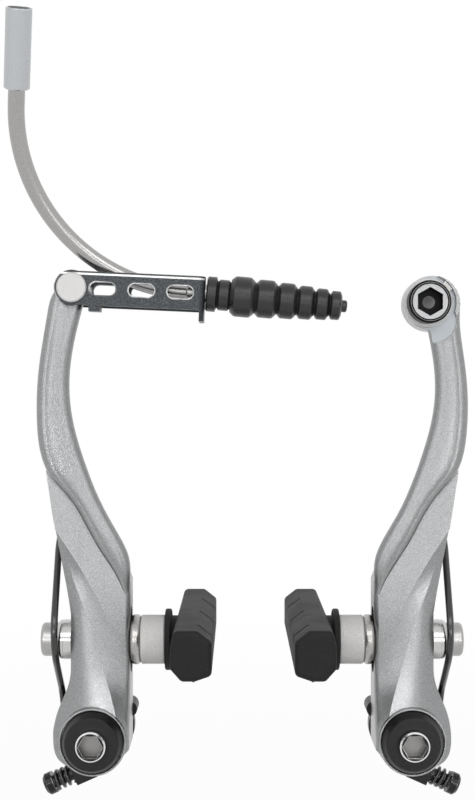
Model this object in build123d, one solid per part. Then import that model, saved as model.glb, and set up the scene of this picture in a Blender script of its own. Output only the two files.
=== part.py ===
"""Linear-pull bicycle brake: two forged arms, shoes, return springs, cable link and noodle.

Frame: X to the right, Y to the back (the frame bosses lie behind Y = 0), Z up.
The origin is midway between the two pivot axes, on the plane where the brake meets the frame.
Depths are given as "front" distances: how far a face stands in front of that plane, so Y = -front.
The left side is modelled about its own pivot and the right side is its mirror image.
"""
from build123d import *
from math import cos, radians, sin, sqrt
import os

# Driving dimensions, millimetres and degrees

# Layout of the pair
PIVOT_SPACING = 75.0          # between the two frame bosses
RUNNING_CLEARANCE = 0.05      # radial, on every pin and shaft
FREE_CLEARANCE = 0.3          # between faces that pass each other

# Pivot
FRAME_BOSS_BORE_R = 4.2       # sleeve bore, slides over an 8 mm frame boss
SLEEVE_WALL = 0.8
SLEEVE_RECESS = 1.9           # sleeve end behind the boss face
PRESS_GAP = 0.02              # radial, round pins and sleeves that are pressed in
PIVOT_BOLT_R = 3.0
PIVOT_BOLT_REACH = 0.7        # bolt tip past the mounting plane
PIVOT_TIP_CHAMFER = 0.6
PIVOT_NECK_R = 2.7            # plain neck between the thread and the head
PIVOT_NECK_SLOPE = 0.3        # run-out from the thread to the neck
PIVOT_HEAD_R = 3.5
PIVOT_HEAD_HEIGHT = 3.0
PIVOT_HEAD_CHAMFER = 0.35
PIVOT_HEX = 5.0
PIVOT_SOCKET_FLOOR = 0.4      # metal left under the socket
CAP_R = 7.25
CAP_PROUD = 2.4               # cap's face in front of the boss
CAP_SHOULDER = 0.2            # straight side in front of the boss
CAP_FACE_R = 6.1
CAP_RIM_CHAMFER = 0.25
CAP_WELL = 0.6                # bolt head sits this deep in the cap's face
CAP_WELL_GAP = 0.3            # round the bolt head

# Spring base and the pin that keys it to the frame
BASE_FLANGE_R = 8.6
BASE_FLANGE_THICKNESS = 3.7
BASE_HUB_R = 6.2
BASE_HEIGHT = 6.9
STOP_PIN_X = 7.5
STOP_PIN_Z = 4.75
STOP_PIN_R = 1.25
STOP_PIN_REACH = 3.5          # pin length that enters the frame
STOP_PIN_SEAT = 3.0           # pin length inside the base
STOP_LUG_R = 2.0
HEEL_Z = -4.0
HEEL_WIDTH = 2.4
HEEL_HEIGHT = 3.0

# Return spring
SPRING_WIRE_R = 0.85
SPRING_COIL_R = 7.4
SPRING_COIL_FRONT = 5.0
SPRING_WRAP_START = 112       # degrees, where the wire's tail leaves the hub
SPRING_WRAP_END = -203
SPRING_WRAP_STEP = 45
SPRING_WRAP_EASE = 0.15       # short straights between the bends of the wrap
SPRING_TAIL_X = 3.0           # tail, beyond the start of the wrap
SPRING_TAIL_DROP = 1.2
SPRING_TAIL_R = 2.0
SPRING_LEG_OUT = 1.2          # leg stands outside the wrap
SPRING_LEG_LEAN = 1.1         # and leans out by this much on the way up
SPRING_LEG_LOW = 2.5
SPRING_LEG_BEND = 9.0
SPRING_LEG_BEND_R = 5.0
SPRING_LEG_FOOT_R = 7.0
SPRING_BOW = 8.5              # bow in front of the shoe axis
SPRING_BOW_R = 9.0
SPRING_HOOK_RUN = 10.5        # the leg is behind the arm this far below the hook
SPRING_HOOK_BEND_R = 6.0
SPRING_HOOK_END = 4.0         # wire past the hook
HOOK_X = -9.3
HOOK_Z = 56.0
HOOK_R = 1.2
HOOK_HEAD_R = 2.0
HOOK_HEAD_THICKNESS = 1.0
HOOK_LENGTH = 3.6             # pin standing out of the arm's back
HOOK_SEAT_DEPTH = 2.0
HOOK_GAP = 0.1                # hook to wire

# Tension screw
SCREW_HEAD_X = -10.95
SCREW_HEAD_Z = -13.7
SCREW_SLOPE = 24.0            # degrees, head low and outside
SCREW_FRONT = 3.6
SCREW_R = 1.6
SCREW_LENGTH = 9.0
SCREW_TIP_CHAMFER = 0.5
SCREW_HEAD_R = 2.7
SCREW_HEAD_THICKNESS = 2.4
SCREW_HEAD_CHAMFER = 0.6
SCREW_SLOT = 0.8
SCREW_SLOT_RIM = 0.8          # metal left at each end of the cross slot
SCREW_SLOT_DEPTH = 1.3
SCREW_LUG_START = 5.2         # from the underside of the head
SCREW_LUG_R = 2.7
SCREW_LUG_END = 1.5           # lug past the screw's tip
SCREW_LUG_NOSE = 2.0
SCREW_LUG_SLOPE = 4.0
COIL_WIRE_R = 0.42
COIL_GAP = 0.15               # coil inside to screw shank
COIL_END_GAP = 0.1            # coil ends to the head and the lug
COIL_TURNS = 3.0

# Arm
ARM_BACK = 7.2                # back face of the boss
BOSS_FRONT = 21.2
BOSS_R = 7.95
BOSS_RIM_CHAMFER = 0.15
BOSS_FLARE_R = 9.4            # at the back face
BOSS_FLARE_SHIFT = -1.6       # flare stands to the outside
BOSS_FLARE_DROP = -1.3        # and low
BOSS_FLARE_DEPTH = 9.0
ARM_INNER = 8.5               # inner flank, from the pivot
ARM_OUTER = -5.6              # outer flank beside the shoe slot
PIN_X = -5.2
PIN_HEIGHT = 106.8
HEAD_R = 4.0
HEAD_THICKNESS = 7.4
HEAD_SPOT_R = 5.8
ARM_MID = 13.0                # middle of the neck and of the link
BOLT_X = -4.0
BOLT_HEIGHT = 103.2
BOLT_DISC_SHIFT = -1.2        # middle of the arm's round head, from the bolt
BOLT_DISC_R = 6.5
BOLT_RIM_FRONT = 17.3
BOLT_SEAT_FRONT = 16.2
BOLT_POCKET_SHIFT = -1.9      # lower end of the machined pocket, from the bolt
BOLT_POCKET_DROP = -4.3
BOLT_POCKET_R = 5.1
BOLT_NECK_LEFT = -12.1        # neck edges at the bolt's height
BOLT_NECK_RIGHT = -3.0
NECK_TOP_ROUND = 2.0
PIN_NECK_SLIM = 0.5           # neck inside the eye's edge, on the inner side
PIN_NECK_FRONT = 16.3         # neck front at the pin, behind the link's plate
BOLT_NECK_FRONT = 17.2
NECK_CROWN = 0.35
NECK_BACK_CHAMFER = 1.2
NECK_DRAFT = 1.1              # inner flank leans in by this much at the back
INNER_ROUND = 1.4

# Shoe, on an axis along X
SHOE_HEIGHT = 22.7
SHOE_FRONT = 12.0
SHOE_SLOT_HEIGHT = 16.0
POST_R = 2.95
POST_GAP = 0.05               # radial, post to washers
POST_TIP_CHAMFER = 0.5
POST_NUT_HOLD = 1.5           # post inside the nut
POST_PAD_HOLD = 3.7           # post inside the pad
SLOT_PLAY = 0.15
SEAT_ABOVE = 0.8              # flat seat of the shoe past the washer, above and below
SEAT_BELOW = 0.2
CUP_R = 5.95
CUP_THICKNESS = 2.4
CUP_ROUND = 1.0
THICK_WASHER_R = 5.82
THICK_WASHER_LENGTH = 5.8
THICK_WASHER_CHAMFER = 0.25
SEAT_SPHERE_R = 7.5
SEAT_DEPTH = 1.5
SEAT_GAP = 0.05               # between the two balls of a seat
FACE_GAP = 0.02               # between flat faces that bear on each other
NOSE_DEPTH = 1.0              # blank for the domed nose, past the ball
NOSE_RIM = 1.1                # nose radius inside the cup's rim
PAD_FLANGE_R = 7.3
PAD_FLANGE_THICKNESS = 1.5
PAD_FLANGE_ROUND = 0.4
PAD_HUB_R = 5.7
PAD_HUB_SINK = 1.0            # hub inside the pad
PAD_BACK_GAP = 0.8            # neck between flange and pad
PAD_THICKNESS = 9.3
PAD_LENGTH_FRONT = 28.0       # from the post to the front end
PAD_LENGTH_BACK = 44.0
PAD_TOP = 6.4                 # above the post
PAD_BOTTOM = -4.9
PAD_CORNER_R = 1.3            # along the pad
PAD_END_R = 1.2               # round its two ends
PAD_SHOULDER = 3.6            # back face below the top
PAD_SHOULDER_RUN = 0.8
PAD_TOP_WIDTH = 6.1
PAD_BEVEL = 2.5               # friction face below the top
PAD_FOOT_RISE = 1.3           # friction face above the bottom
PAD_FOOT_FRONT = 5.5
PAD_FOOT_BACK = 2.5
PAD_HEEL = 2.8                # back face above the bottom
PAD_FLASH = 0.4               # mould flash along the bottom
PAD_FLASH_X = 5.2
PAD_SLIT = 1.1
PAD_SLIT_DEPTH = 1.1
PAD_SLIT_COUNT = 3
PAD_SLIT_PITCH = 21.5
PAD_SLIT_FIRST = 9.5          # from the front end
PAD_SLIT_LOW = 5.2            # slit end below the top
OUTER_CUP_R = 4.75
OUTER_CUP_THICKNESS = 1.9
OUTER_SEAT_DEPTH = 0.9
OUTER_DOME_R = 4.7
OUTER_DOME_THICKNESS = 1.7
OUTER_DOME_ROUND = 1.3
OUTER_NOSE_DEPTH = 1.5
OUTER_NOSE_RIM = 1.0
NUT_R = 4.0
NUT_LENGTH = 3.7
NUT_ROUND = 0.9
NUT_FLOOR = 1.6               # thread depth in the nut
NUT_HEX = 5.0
NUT_HEX_DEPTH = 1.8

# Cable bolt
CABLE_BOLT_R = 2.95
CABLE_TIP_CHAMFER = 0.5
CABLE_TIP_RECESS = 0.6        # bolt tip inside the arm's back face
CABLE_WASHER_R = 5.75
CABLE_WASHER_GAP = 0.1        # radial, washer to bolt
CABLE_WASHER_THICKNESS = 1.4
CABLE_TAB_ANGLE = 140.0       # degrees, as on a left arm
CABLE_TAB_REACH = 0.8
CABLE_TAB_WIDTH = 2.4
CABLE_HEAD_R = 5.0
CABLE_HEAD_HEIGHT = 5.0
CABLE_HEAD_CHAMFER = 0.8
CABLE_RING_DROP = 0.3         # face inside the head's rim
CABLE_RING_SLOPE = 0.1
CABLE_HEX = 5.85
CABLE_SOCKET_FLOOR = 1.6
CABLE_DRILL_R = 1.5           # drill point in the socket's floor
CABLE_DRILL_DEPTH = 0.9

# Cable link, folded sheet
LINK_SLOPE = -2.55            # degrees, from the pin to the end plate
LINK_LENGTH = 31.5
LINK_HALF_GAP = 4.0
LINK_SHEET = 1.2
LINK_EYE_R = 4.2
LINK_HALF_HEIGHT = 4.0
LINK_SLOT_LENGTH = 6.1
LINK_SLOT_WIDTH = 3.0
LINK_SLOT_FIRST = 7.3
LINK_SLOT_LAST = 5.8          # last slot's middle to the end plate's face
LINK_LEG = 2.6                # end plate below the side plates
LINK_TAB_START = 4.2
LINK_TAB_WIDTH = 2.8
LINK_TAB_DROP = 1.4
LINK_TAB_REACH = 3.0
LINK_BEND_R = 1.9             # outside of the folds
LINK_CORNER_R = 0.7           # inside of them
LINK_PIN_CHAMFER = 0.3
LINK_PIN_SIDE_GAP = 0.05      # pin heads to the plates
LINK_PIN_TAIL = 0.7
LINK_PIN_TAIL_R = 2.9
LINK_PIN_R = 2.2
LINK_PIN_HEAD_R = 3.55
LINK_PIN_HEAD_THICKNESS = 1.0
KEYHOLE_SLOT = 2.2
KEYHOLE_CUT = 6.0             # length of the cutter through the end plate

# Noodle: bent tube, ferrule, nose and boot on the nose axis
NOSE_SLOPE = -5.2             # degrees, running down to the right
NOSE_RISE = 0.3               # nose axis above the link's middle at the end plate
NOODLE_LEAN = 21.0            # degrees towards the front
NOODLE_BEND_R = 41.0
NOODLE_BEND = 90.0
NOODLE_START = 5.7            # straight tube behind the end plate
NOODLE_STUB = 3.5             # straight tube below the ferrule
TUBE_R = 1.95
TUBE_BORE_R = 1.3
LINER_R = 1.25
LINER_BORE_R = 0.8
FERRULE_R = 3.0
FERRULE_LENGTH = 18.1
FERRULE_BORE_R = 2.55
FERRULE_BORE_DEPTH = 12.0
FERRULE_FOOT_CHAMFER = 0.3
FERRULE_MOUTH_CHAMFER = 0.15
NOSE_R = 2.2
NOSE_SHOULDER_R = 2.6
NOSE_SHOULDER_LENGTH = 3.2
NOSE_REACH = 5.0              # nose past the end plate
NOSE_GAP = 0.1                # shoulder to the end plate
NOSE_SHOULDER_CHAMFER = 0.3
NOSE_TIP_LENGTH = 1.0
NOSE_TIP_STEP = 0.7
BOOT_LIP_R = 4.2
BOOT_LIP_LENGTH = 2.6
BOOT_LIP_ROUND = 0.35
BOOT_RING_R = 3.7
BOOT_RING_LENGTH = 3.1
BOOT_RING_GROOVE = 0.5
BOOT_GROOVE = 0.9
BOOT_GROOVE_HALF = 0.12
BOOT_BARRELS = 6
BOOT_BEVEL = 0.17             # bevel at each end of a barrel, share of its length
BOOT_BEVEL_RISE = 0.12        # slight crown past the bevel
BOOT_CROWN = 1.5              # where the crown is full, in bevels from the end
BOOT_FIRST_R = 4.85
BOOT_LAST_R = 3.47
BOOT_FIRST_LENGTH = 5.9
BOOT_LAST_LENGTH = 3.05
BOOT_NIPPLE_R = 1.45
BOOT_NIPPLE_LENGTH = 1.2
BOOT_NIPPLE_CHAMFER = 0.3

# Values worked out from the driving dimensions

LEFT_PIVOT = Pos(-PIVOT_SPACING / 2, 0, 0)
SLEEVE_R = FRAME_BOSS_BORE_R + SLEEVE_WALL
ARM_BORE_R = SLEEVE_R + RUNNING_CLEARANCE
SLEEVE_LENGTH = BOSS_FRONT - SLEEVE_RECESS
CAP_BACK = SLEEVE_LENGTH
CAP_FRONT = BOSS_FRONT + CAP_PROUD
HEAD_SEAT = CAP_FRONT - CAP_WELL
CAP_POCKET_R = CAP_R + FREE_CLEARANCE
CAP_POCKET_FLOOR = CAP_BACK - FREE_CLEARANCE
POST_SLOT_WIDTH = 2 * (POST_R + SLOT_PLAY)
POST_BORE_R = POST_R + POST_GAP
BOLT_SPOT_R = CABLE_WASHER_R + CABLE_TAB_REACH + FREE_CLEARANCE
HEAD_FRONT = ARM_MID + HEAD_THICKNESS / 2
HEAD_BACK = ARM_MID - HEAD_THICKNESS / 2
LINK_FRONT = ARM_MID + LINK_HALF_GAP + LINK_SHEET
LINK_BACK = ARM_MID - LINK_HALF_GAP - LINK_SHEET
KEYHOLE_R = NOSE_R + RUNNING_CLEARANCE
LINK_SLOT_PITCH = (LINK_LENGTH - LINK_SLOT_FIRST - LINK_SLOT_LAST) / 2


# Helpers

def front_plane(front):
    """Plane facing the viewer at a distance in front of the mounting plane."""
    return Plane.XZ.offset(front)


def rod(x, z, radius, back, front):
    """Round bar along Y between two depths."""
    return extrude(front_plane(back) * Pos(x, z) * Circle(radius), front - back)


def turned(place, outline):
    """Solid of revolution: outline of (along, radius) points about the plane's X axis."""
    face = make_face(Polyline(*outline, close=True))
    return revolve(place * face, Axis(place.origin, place.x_dir))


def hexagon(across_flats, turn=0.0):
    """Hexagon of a socket, by its width across flats."""
    return RegularPolygon(across_flats / 2, 6, major_radius=False, rotation=turn)


def at_depth(x, front, z):
    """Point from a height section: x across, front depth, z up."""
    return (x, -front, z)


def left_place(piece):
    """Put a piece that was modelled about the pivot in its place on the left."""
    return LEFT_PIVOT * piece


def right_place(piece):
    """Mirror a piece that was modelled about the pivot to the right side."""
    return mirror(LEFT_PIVOT * piece, about=Plane.YZ)


# Pivot pieces

PIVOT_PLANE = Plane(origin=(0, 0, 0), x_dir=(0, -1, 0), z_dir=(1, 0, 0))


def pivot_sleeve():
    """Sleeve that slides over the frame boss; the arm turns on it."""
    return rod(0, 0, SLEEVE_R, 0, SLEEVE_LENGTH) - rod(0, 0, FRAME_BOSS_BORE_R, 0, SLEEVE_LENGTH)


def pivot_cap():
    """Tapered cap under the pivot bolt's head, held against the sleeve's end."""
    well_r = PIVOT_HEAD_R + CAP_WELL_GAP
    bore_r = PIVOT_BOLT_R + RUNNING_CLEARANCE
    outline = [
        (CAP_BACK, bore_r),
        (CAP_BACK, CAP_R),
        (BOSS_FRONT + CAP_SHOULDER, CAP_R),
        (CAP_FRONT - CAP_RIM_CHAMFER, CAP_FACE_R + CAP_RIM_CHAMFER),
        (CAP_FRONT, CAP_FACE_R),
        (CAP_FRONT, well_r),
        (HEAD_SEAT, well_r),
        (HEAD_SEAT, bore_r),
    ]
    return turned(PIVOT_PLANE, outline)


def pivot_bolt():
    """Hex socket bolt through the cap into the frame boss."""
    top = HEAD_SEAT + PIVOT_HEAD_HEIGHT
    tip = -PIVOT_BOLT_REACH
    neck = CAP_BACK - FREE_CLEARANCE
    outline = [
        (tip, 0),
        (tip, PIVOT_BOLT_R - PIVOT_TIP_CHAMFER),
        (tip + PIVOT_TIP_CHAMFER, PIVOT_BOLT_R),
        (neck - PIVOT_NECK_SLOPE, PIVOT_BOLT_R),
        (neck, PIVOT_NECK_R),
        (HEAD_SEAT, PIVOT_NECK_R),
        (HEAD_SEAT, PIVOT_HEAD_R),
        (top - PIVOT_HEAD_CHAMFER, PIVOT_HEAD_R),
        (top, PIVOT_HEAD_R - PIVOT_HEAD_CHAMFER),
        (top, 0),
    ]
    bolt = turned(PIVOT_PLANE, outline)
    socket_floor = HEAD_SEAT + PIVOT_SOCKET_FLOOR
    return bolt - extrude(front_plane(socket_floor) * hexagon(PIVOT_HEX), top - socket_floor)


def screw_axis():
    """Plane at the underside of the tension screw's head, X along the screw."""
    slope = radians(SCREW_SLOPE)
    along = (cos(slope), 0, sin(slope))
    return Plane(origin=(SCREW_HEAD_X, -SCREW_FRONT, SCREW_HEAD_Z), x_dir=along, z_dir=(0, -1, 0))


def spring_base():
    """Resin base behind the arm: spring flange, hub, frame-pin lug and tension-screw lug."""
    flange = rod(0, 0, BASE_FLANGE_R, 0, BASE_FLANGE_THICKNESS)
    hub = rod(0, 0, BASE_HUB_R, 0, BASE_HEIGHT)
    pin_lug = rod(STOP_PIN_X, STOP_PIN_Z, STOP_LUG_R, 0, BASE_HEIGHT)
    place = screw_axis()
    lug_end = SCREW_LENGTH + SCREW_LUG_END
    lug_top = SCREW_LUG_R + SCREW_LUG_NOSE
    lug_face = make_face(Polyline(
        (SCREW_LUG_START, -SCREW_LUG_R),
        (lug_end, -SCREW_LUG_R),
        (lug_end + SCREW_LUG_NOSE, 0),
        (lug_end, lug_top),
        (SCREW_LUG_START + SCREW_LUG_SLOPE, lug_top),
        (SCREW_LUG_START, SCREW_LUG_R),
        close=True,
    ))
    lug = extrude(place.offset(-SCREW_LUG_R) * lug_face, 2 * SCREW_LUG_R)
    room_r = SPRING_COIL_R + SPRING_WIRE_R + FREE_CLEARANCE
    wire_room = rod(0, 0, room_r, BASE_FLANGE_THICKNESS, BASE_HEIGHT)
    wire_room -= rod(0, 0, BASE_HUB_R, BASE_FLANGE_THICKNESS, BASE_HEIGHT)
    heel_face = Pos(-BASE_FLANGE_R, HEEL_Z) * Rectangle(HEEL_WIDTH, HEEL_HEIGHT)
    heel = extrude(front_plane(0) * heel_face, BASE_FLANGE_THICKNESS)
    base = flange + heel + (pin_lug + lug - wire_room) + hub
    bore = rod(0, 0, SLEEVE_R + PRESS_GAP, 0, BASE_HEIGHT)
    pin_hole = rod(STOP_PIN_X, STOP_PIN_Z, STOP_PIN_R + PRESS_GAP, 0, STOP_PIN_SEAT)
    across = Plane(place.origin, x_dir=(0, 1, 0), z_dir=place.x_dir)
    screw_hole = extrude(
        across * Circle(SCREW_R + RUNNING_CLEARANCE), lug_end + 2 * SCREW_LUG_NOSE
    )
    return base - bore - pin_hole - screw_hole


def stop_pin():
    """Steel pin that keys the spring base to the hole beside the frame boss."""
    return rod(STOP_PIN_X, STOP_PIN_Z, STOP_PIN_R, -STOP_PIN_REACH, STOP_PIN_SEAT)


def return_spring():
    """Bent wire: most of a turn round the hub, then a bowed leg up to the hook behind the arm."""
    corner_r = SPRING_COIL_R / cos(radians(SPRING_WRAP_STEP / 2))
    turns = [radians(a) for a in range(SPRING_WRAP_START, SPRING_WRAP_END, -SPRING_WRAP_STEP)]
    wrap = [(corner_r * cos(a), SPRING_COIL_FRONT, corner_r * sin(a)) for a in turns]
    tail = (wrap[0][0] - SPRING_TAIL_X, SPRING_COIL_FRONT, wrap[0][2] - SPRING_TAIL_DROP)
    leg_x = -SPRING_COIL_R - SPRING_LEG_OUT
    hook_x = HOOK_X + HOOK_R + SPRING_WIRE_R + HOOK_GAP
    hook_front = ARM_BACK - HOOK_LENGTH / 2
    leg = [
        (leg_x + SPRING_LEG_LEAN / 3, SPRING_COIL_FRONT, SPRING_LEG_LOW),
        (leg_x - SPRING_LEG_LEAN / 3, SPRING_COIL_FRONT, SPRING_LEG_BEND),
        (leg_x - SPRING_LEG_LEAN * 2 / 3, SHOE_FRONT + SPRING_BOW, SHOE_HEIGHT),
        (leg_x - SPRING_LEG_LEAN, hook_front, HOOK_Z - SPRING_HOOK_RUN),
        (hook_x, hook_front, HOOK_Z),
        (hook_x, hook_front, HOOK_Z + SPRING_HOOK_END),
    ]
    radii = [SPRING_TAIL_R] + [SPRING_COIL_R - SPRING_WRAP_EASE] * (len(wrap) - 1)
    radii += [SPRING_LEG_FOOT_R, SPRING_LEG_BEND_R, SPRING_BOW_R, SPRING_BOW_R, SPRING_HOOK_BEND_R]
    path = FilletPolyline(*[at_depth(*point) for point in [tail] + wrap + leg], radius=radii)
    return sweep(Plane(path @ 0, z_dir=path % 0) * Circle(SPRING_WIRE_R), path)


def tension_screw():
    """Screw with a cross slot that sets the spring's preload."""
    outline = [
        (-SCREW_HEAD_THICKNESS, 0),
        (-SCREW_HEAD_THICKNESS, SCREW_HEAD_R - SCREW_HEAD_CHAMFER),
        (-SCREW_HEAD_THICKNESS + SCREW_HEAD_CHAMFER, SCREW_HEAD_R),
        (0, SCREW_HEAD_R),
        (0, SCREW_R),
        (SCREW_LENGTH - SCREW_TIP_CHAMFER, SCREW_R),
        (SCREW_LENGTH, SCREW_R - SCREW_TIP_CHAMFER),
        (SCREW_LENGTH, 0),
    ]
    place = screw_axis()
    end = Plane(place.origin - place.x_dir * SCREW_HEAD_THICKNESS, x_dir=(0, 1, 0), z_dir=place.x_dir)
    slot_length = 2 * (SCREW_HEAD_R - SCREW_SLOT_RIM)
    cross = Rectangle(slot_length, SCREW_SLOT) + Rectangle(SCREW_SLOT, slot_length)
    return turned(place, outline) - extrude(end * cross, SCREW_SLOT_DEPTH)


def tension_spring():
    """Small coil between the screw's head and its lug."""
    mean_r = SCREW_R + COIL_GAP + COIL_WIRE_R
    end = COIL_WIRE_R + COIL_END_GAP
    length = SCREW_LUG_START - 2 * end
    place = screw_axis()
    start = Plane(place.origin + place.x_dir * end, x_dir=(0, 1, 0), z_dir=place.x_dir)
    helix = Helix(pitch=length / COIL_TURNS, height=length, radius=mean_r)
    section = Plane(helix @ 0, z_dir=helix % 0) * RegularPolygon(COIL_WIRE_R, 8)
    return start * sweep(section, helix, is_frenet=True)


# Arm

# Neck stations below the bend: height, left edge, right edge, front face, left round, right round.
# Above the valley crease the left edge is the arm's own outline, below it is the crease.
NECK_LOW = [
    (34.0, 7.0, ARM_INNER, 16.4, 0.6, 0.6),
    (38.0, 5.4, ARM_INNER, 17.2, 1.1, 1.3),
    (43.0, 2.2, 8.15, 17.7, 1.7, 2.0),
    (50.0, -1.9, 4.7, 17.9, 1.9, 2.1),
    (57.0, -6.2, 1.0, 17.9, 2.1, 2.1),
    (62.6, -10.9, -1.3, 17.8, 2.4, 2.1),
]
# Neck stations above it, without the height: these stretch with the height of the arm's head.
NECK_HIGH = [
    (-12.6, -2.7, 17.7, 2.4, 2.2),
    (-13.8, -5.2, 17.5, 2.3, 2.2),
    (-13.6, -6.0, 17.4, 2.2, 2.2),
    (-12.4, -4.8, 17.1, 2.2, 2.2),
    (-11.4, -3.3, 16.5, 2.2, 2.2),
]
# Share of the way from the bend to the head's middle at which each of them lies.
LEFT_NECK_SHARES = (0.088, 0.290, 0.507, 0.724, 0.869)
RIGHT_NECK_SHARES = (0.096, 0.314, 0.549, 0.784)
NECK_BACK_RISE = 1.4          # the neck's back face comes forward up the arm

# Facet stations: height, then (x, front) of the outer edge, the lower ridge and the upper ridge.
FACET_STATIONS = [
    (-8.0, (-12.0, 12.6), (9.5, 21.2), (19.0, 14.0)),
    (5.0, (-11.0, 13.0), (5.6, 20.6), (13.5, 15.0)),
    (12.0, (-8.4, 14.0), (3.7, 18.9), (10.5, 15.8)),
    (20.0, (-6.8, 15.0), (1.3, 18.0), (7.0, 16.7)),
    (29.0, (-6.8, 14.8), (-1.6, 17.6), (2.9, 17.3)),
    (38.0, (-8.6, 13.9), (-5.1, 16.7), (-1.8, 17.4)),
    (47.3, (-10.0, 14.0), (-8.2, 16.4), (-7.7, 17.2)),
    (57.0, (-18.0, 13.6), (-15.9, 15.9), (-14.6, 16.9)),
    (68.0, (-27.0, 12.4), (-24.0, 14.8), (-22.2, 15.7)),
]
FACET_FALL = 0.15             # lettering flat falls back towards the neck, per millimetre
FACET_BULGE = 0.11            # outer facet rounds over towards the outside, share of its width
ROUNDED_STATIONS = 6          # facet stations beside the rounded inner edge
ROUND_FULLNESS = 0.5          # how far that edge bulges towards its sharp corner
CUTTER_SIDE = 24.0
CUTTER_FRONT = 40.0
CUTTER_LIP = 1.0              # cutter reaches this far behind the outer edge
# Outline of the lower body seen from the front: its two ends, then the points between them.
OUTLINE_TOP = (-11.7, 63.4)
OUTLINE_LOW = (-5.9, -6.3)
OUTER_UPPER_POINTS = [(-9.7, 51.9), (-7.7, 41.0)]
OUTER_LOWER_POINTS = [(-7.15, 10.0), (-9.0, 5.6), (-9.8, 0.5), (-8.7, -4.4)]
INNER_POINTS = [
    (-4.0, -6.0), (4.0, -6.0), (ARM_INNER, -2.0), (ARM_INNER, 37.0), (5.6, 44.0), (-2.5, 57.0), (-8.5, 64.5),
]


def neck_section(z, left, right, front, left_round, right_round):
    """Neck cross-section at one height: crowned front, rounded shoulders, drafted flank, chamfered back."""
    back = ARM_BACK + NECK_BACK_RISE * (z - NECK_LOW[0][0]) / PIN_HEIGHT
    bevel = min(NECK_BACK_CHAMFER, (right - left - NECK_DRAFT) * 0.25)
    quarter = 1 - sqrt(0.5)

    def point(x, depth):
        return at_depth(x, depth, z)

    left_shoulder = ThreePointArc(
        point(left, front - left_round),
        point(left + left_round * quarter, front - left_round * quarter),
        point(left + left_round, front),
    )
    crown = ThreePointArc(
        point(left + left_round, front),
        point((left + left_round + right - right_round) / 2, front + NECK_CROWN * (right - left) / 8),
        point(right - right_round, front),
    )
    right_shoulder = ThreePointArc(
        point(right - right_round, front),
        point(right - right_round * quarter, front - right_round * quarter),
        point(right, front - right_round),
    )
    rest = Polyline(
        point(right, front - right_round),
        point(right - NECK_DRAFT, back + bevel),
        point(right - NECK_DRAFT - bevel, back),
        point(left + bevel, back),
        point(left, back + bevel),
        point(left, front - left_round),
    )
    return make_face([left_shoulder, crown, right_shoulder, rest])


def facet_section(z, outer, ridge, upper):
    """Section at one height of the space in front of the three lower facets."""
    bulge = FACET_BULGE * (ridge[0] - outer[0])
    mid = ((outer[0] + ridge[0]) / 2, (outer[1] + ridge[1]) / 2 + bulge)
    far = (upper[0] + CUTTER_SIDE, upper[1] - CUTTER_SIDE * FACET_FALL)
    rounded = ThreePointArc(at_depth(*outer, z), at_depth(*mid, z), at_depth(*ridge, z))
    rest = Polyline(
        at_depth(*ridge, z),
        at_depth(*upper, z),
        at_depth(*far, z),
        at_depth(far[0], CUTTER_FRONT, z),
        at_depth(outer[0] - CUTTER_SIDE / 4, CUTTER_FRONT, z),
        at_depth(outer[0] - CUTTER_SIDE / 4, outer[1] - CUTTER_LIP, z),
        at_depth(*outer, z),
    )
    return make_face([rounded, rest])


def facet_front(station, x):
    """Front of the facets at one station, at a place between the ridges or past them."""
    ridge, upper = station[2:]
    if x > upper[0]:
        return upper[1] - FACET_FALL * (x - upper[0])
    return ridge[1] + (upper[1] - ridge[1]) * (x - ridge[0]) / (upper[0] - ridge[0])


def inner_round_section(station):
    """Section at one height of the space outside the rounded inner edge."""
    z = station[0]
    shoulder = (ARM_INNER - INNER_ROUND, facet_front(station, ARM_INNER - INNER_ROUND))
    corner = (ARM_INNER, facet_front(station, ARM_INNER))
    flank = (ARM_INNER, corner[1] - INNER_ROUND)
    chord = ((shoulder[0] + flank[0]) / 2, (shoulder[1] + flank[1]) / 2)
    middle = tuple(c + ROUND_FULLNESS * (p - c) for c, p in zip(chord, corner))
    side = ARM_INNER + CUTTER_SIDE / 4
    edge = ThreePointArc(at_depth(*flank, z), at_depth(*middle, z), at_depth(*shoulder, z))
    rest = Polyline(
        at_depth(*shoulder, z),
        at_depth(shoulder[0], CUTTER_FRONT, z),
        at_depth(side, CUTTER_FRONT, z),
        at_depth(side, flank[1], z),
        at_depth(*flank, z),
    )
    return make_face([edge, rest])


def lower_body():
    """Faceted lower half of the arm, from the boss up to the crease under the neck."""
    seat_low = SHOE_HEIGHT - CUP_R - SEAT_BELOW
    seat_high = SHOE_HEIGHT + CUP_R + SEAT_ABOVE
    upper_edge = Spline(
        OUTLINE_TOP, *OUTER_UPPER_POINTS, (ARM_OUTER, seat_high), tangents=[(1.0, -6.0), (0.15, -1.0)],
    )
    lower_edge = Spline(
        (ARM_OUTER, seat_low), *OUTER_LOWER_POINTS, OUTLINE_LOW, tangents=[(0, -1.0), (1.0, -0.35)],
    )
    seat = Line((ARM_OUTER, seat_high), (ARM_OUTER, seat_low))
    inner = Polyline(OUTLINE_LOW, *INNER_POINTS, OUTLINE_TOP)
    outline = make_face([upper_edge, seat, lower_edge, inner])
    body = extrude(front_plane(ARM_BACK) * outline, CUTTER_FRONT / 2)
    cutter = loft([facet_section(*station) for station in FACET_STATIONS])
    inner_edge = loft([inner_round_section(station) for station in FACET_STATIONS[:ROUNDED_STATIONS]])
    return body - cutter - inner_edge


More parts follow.
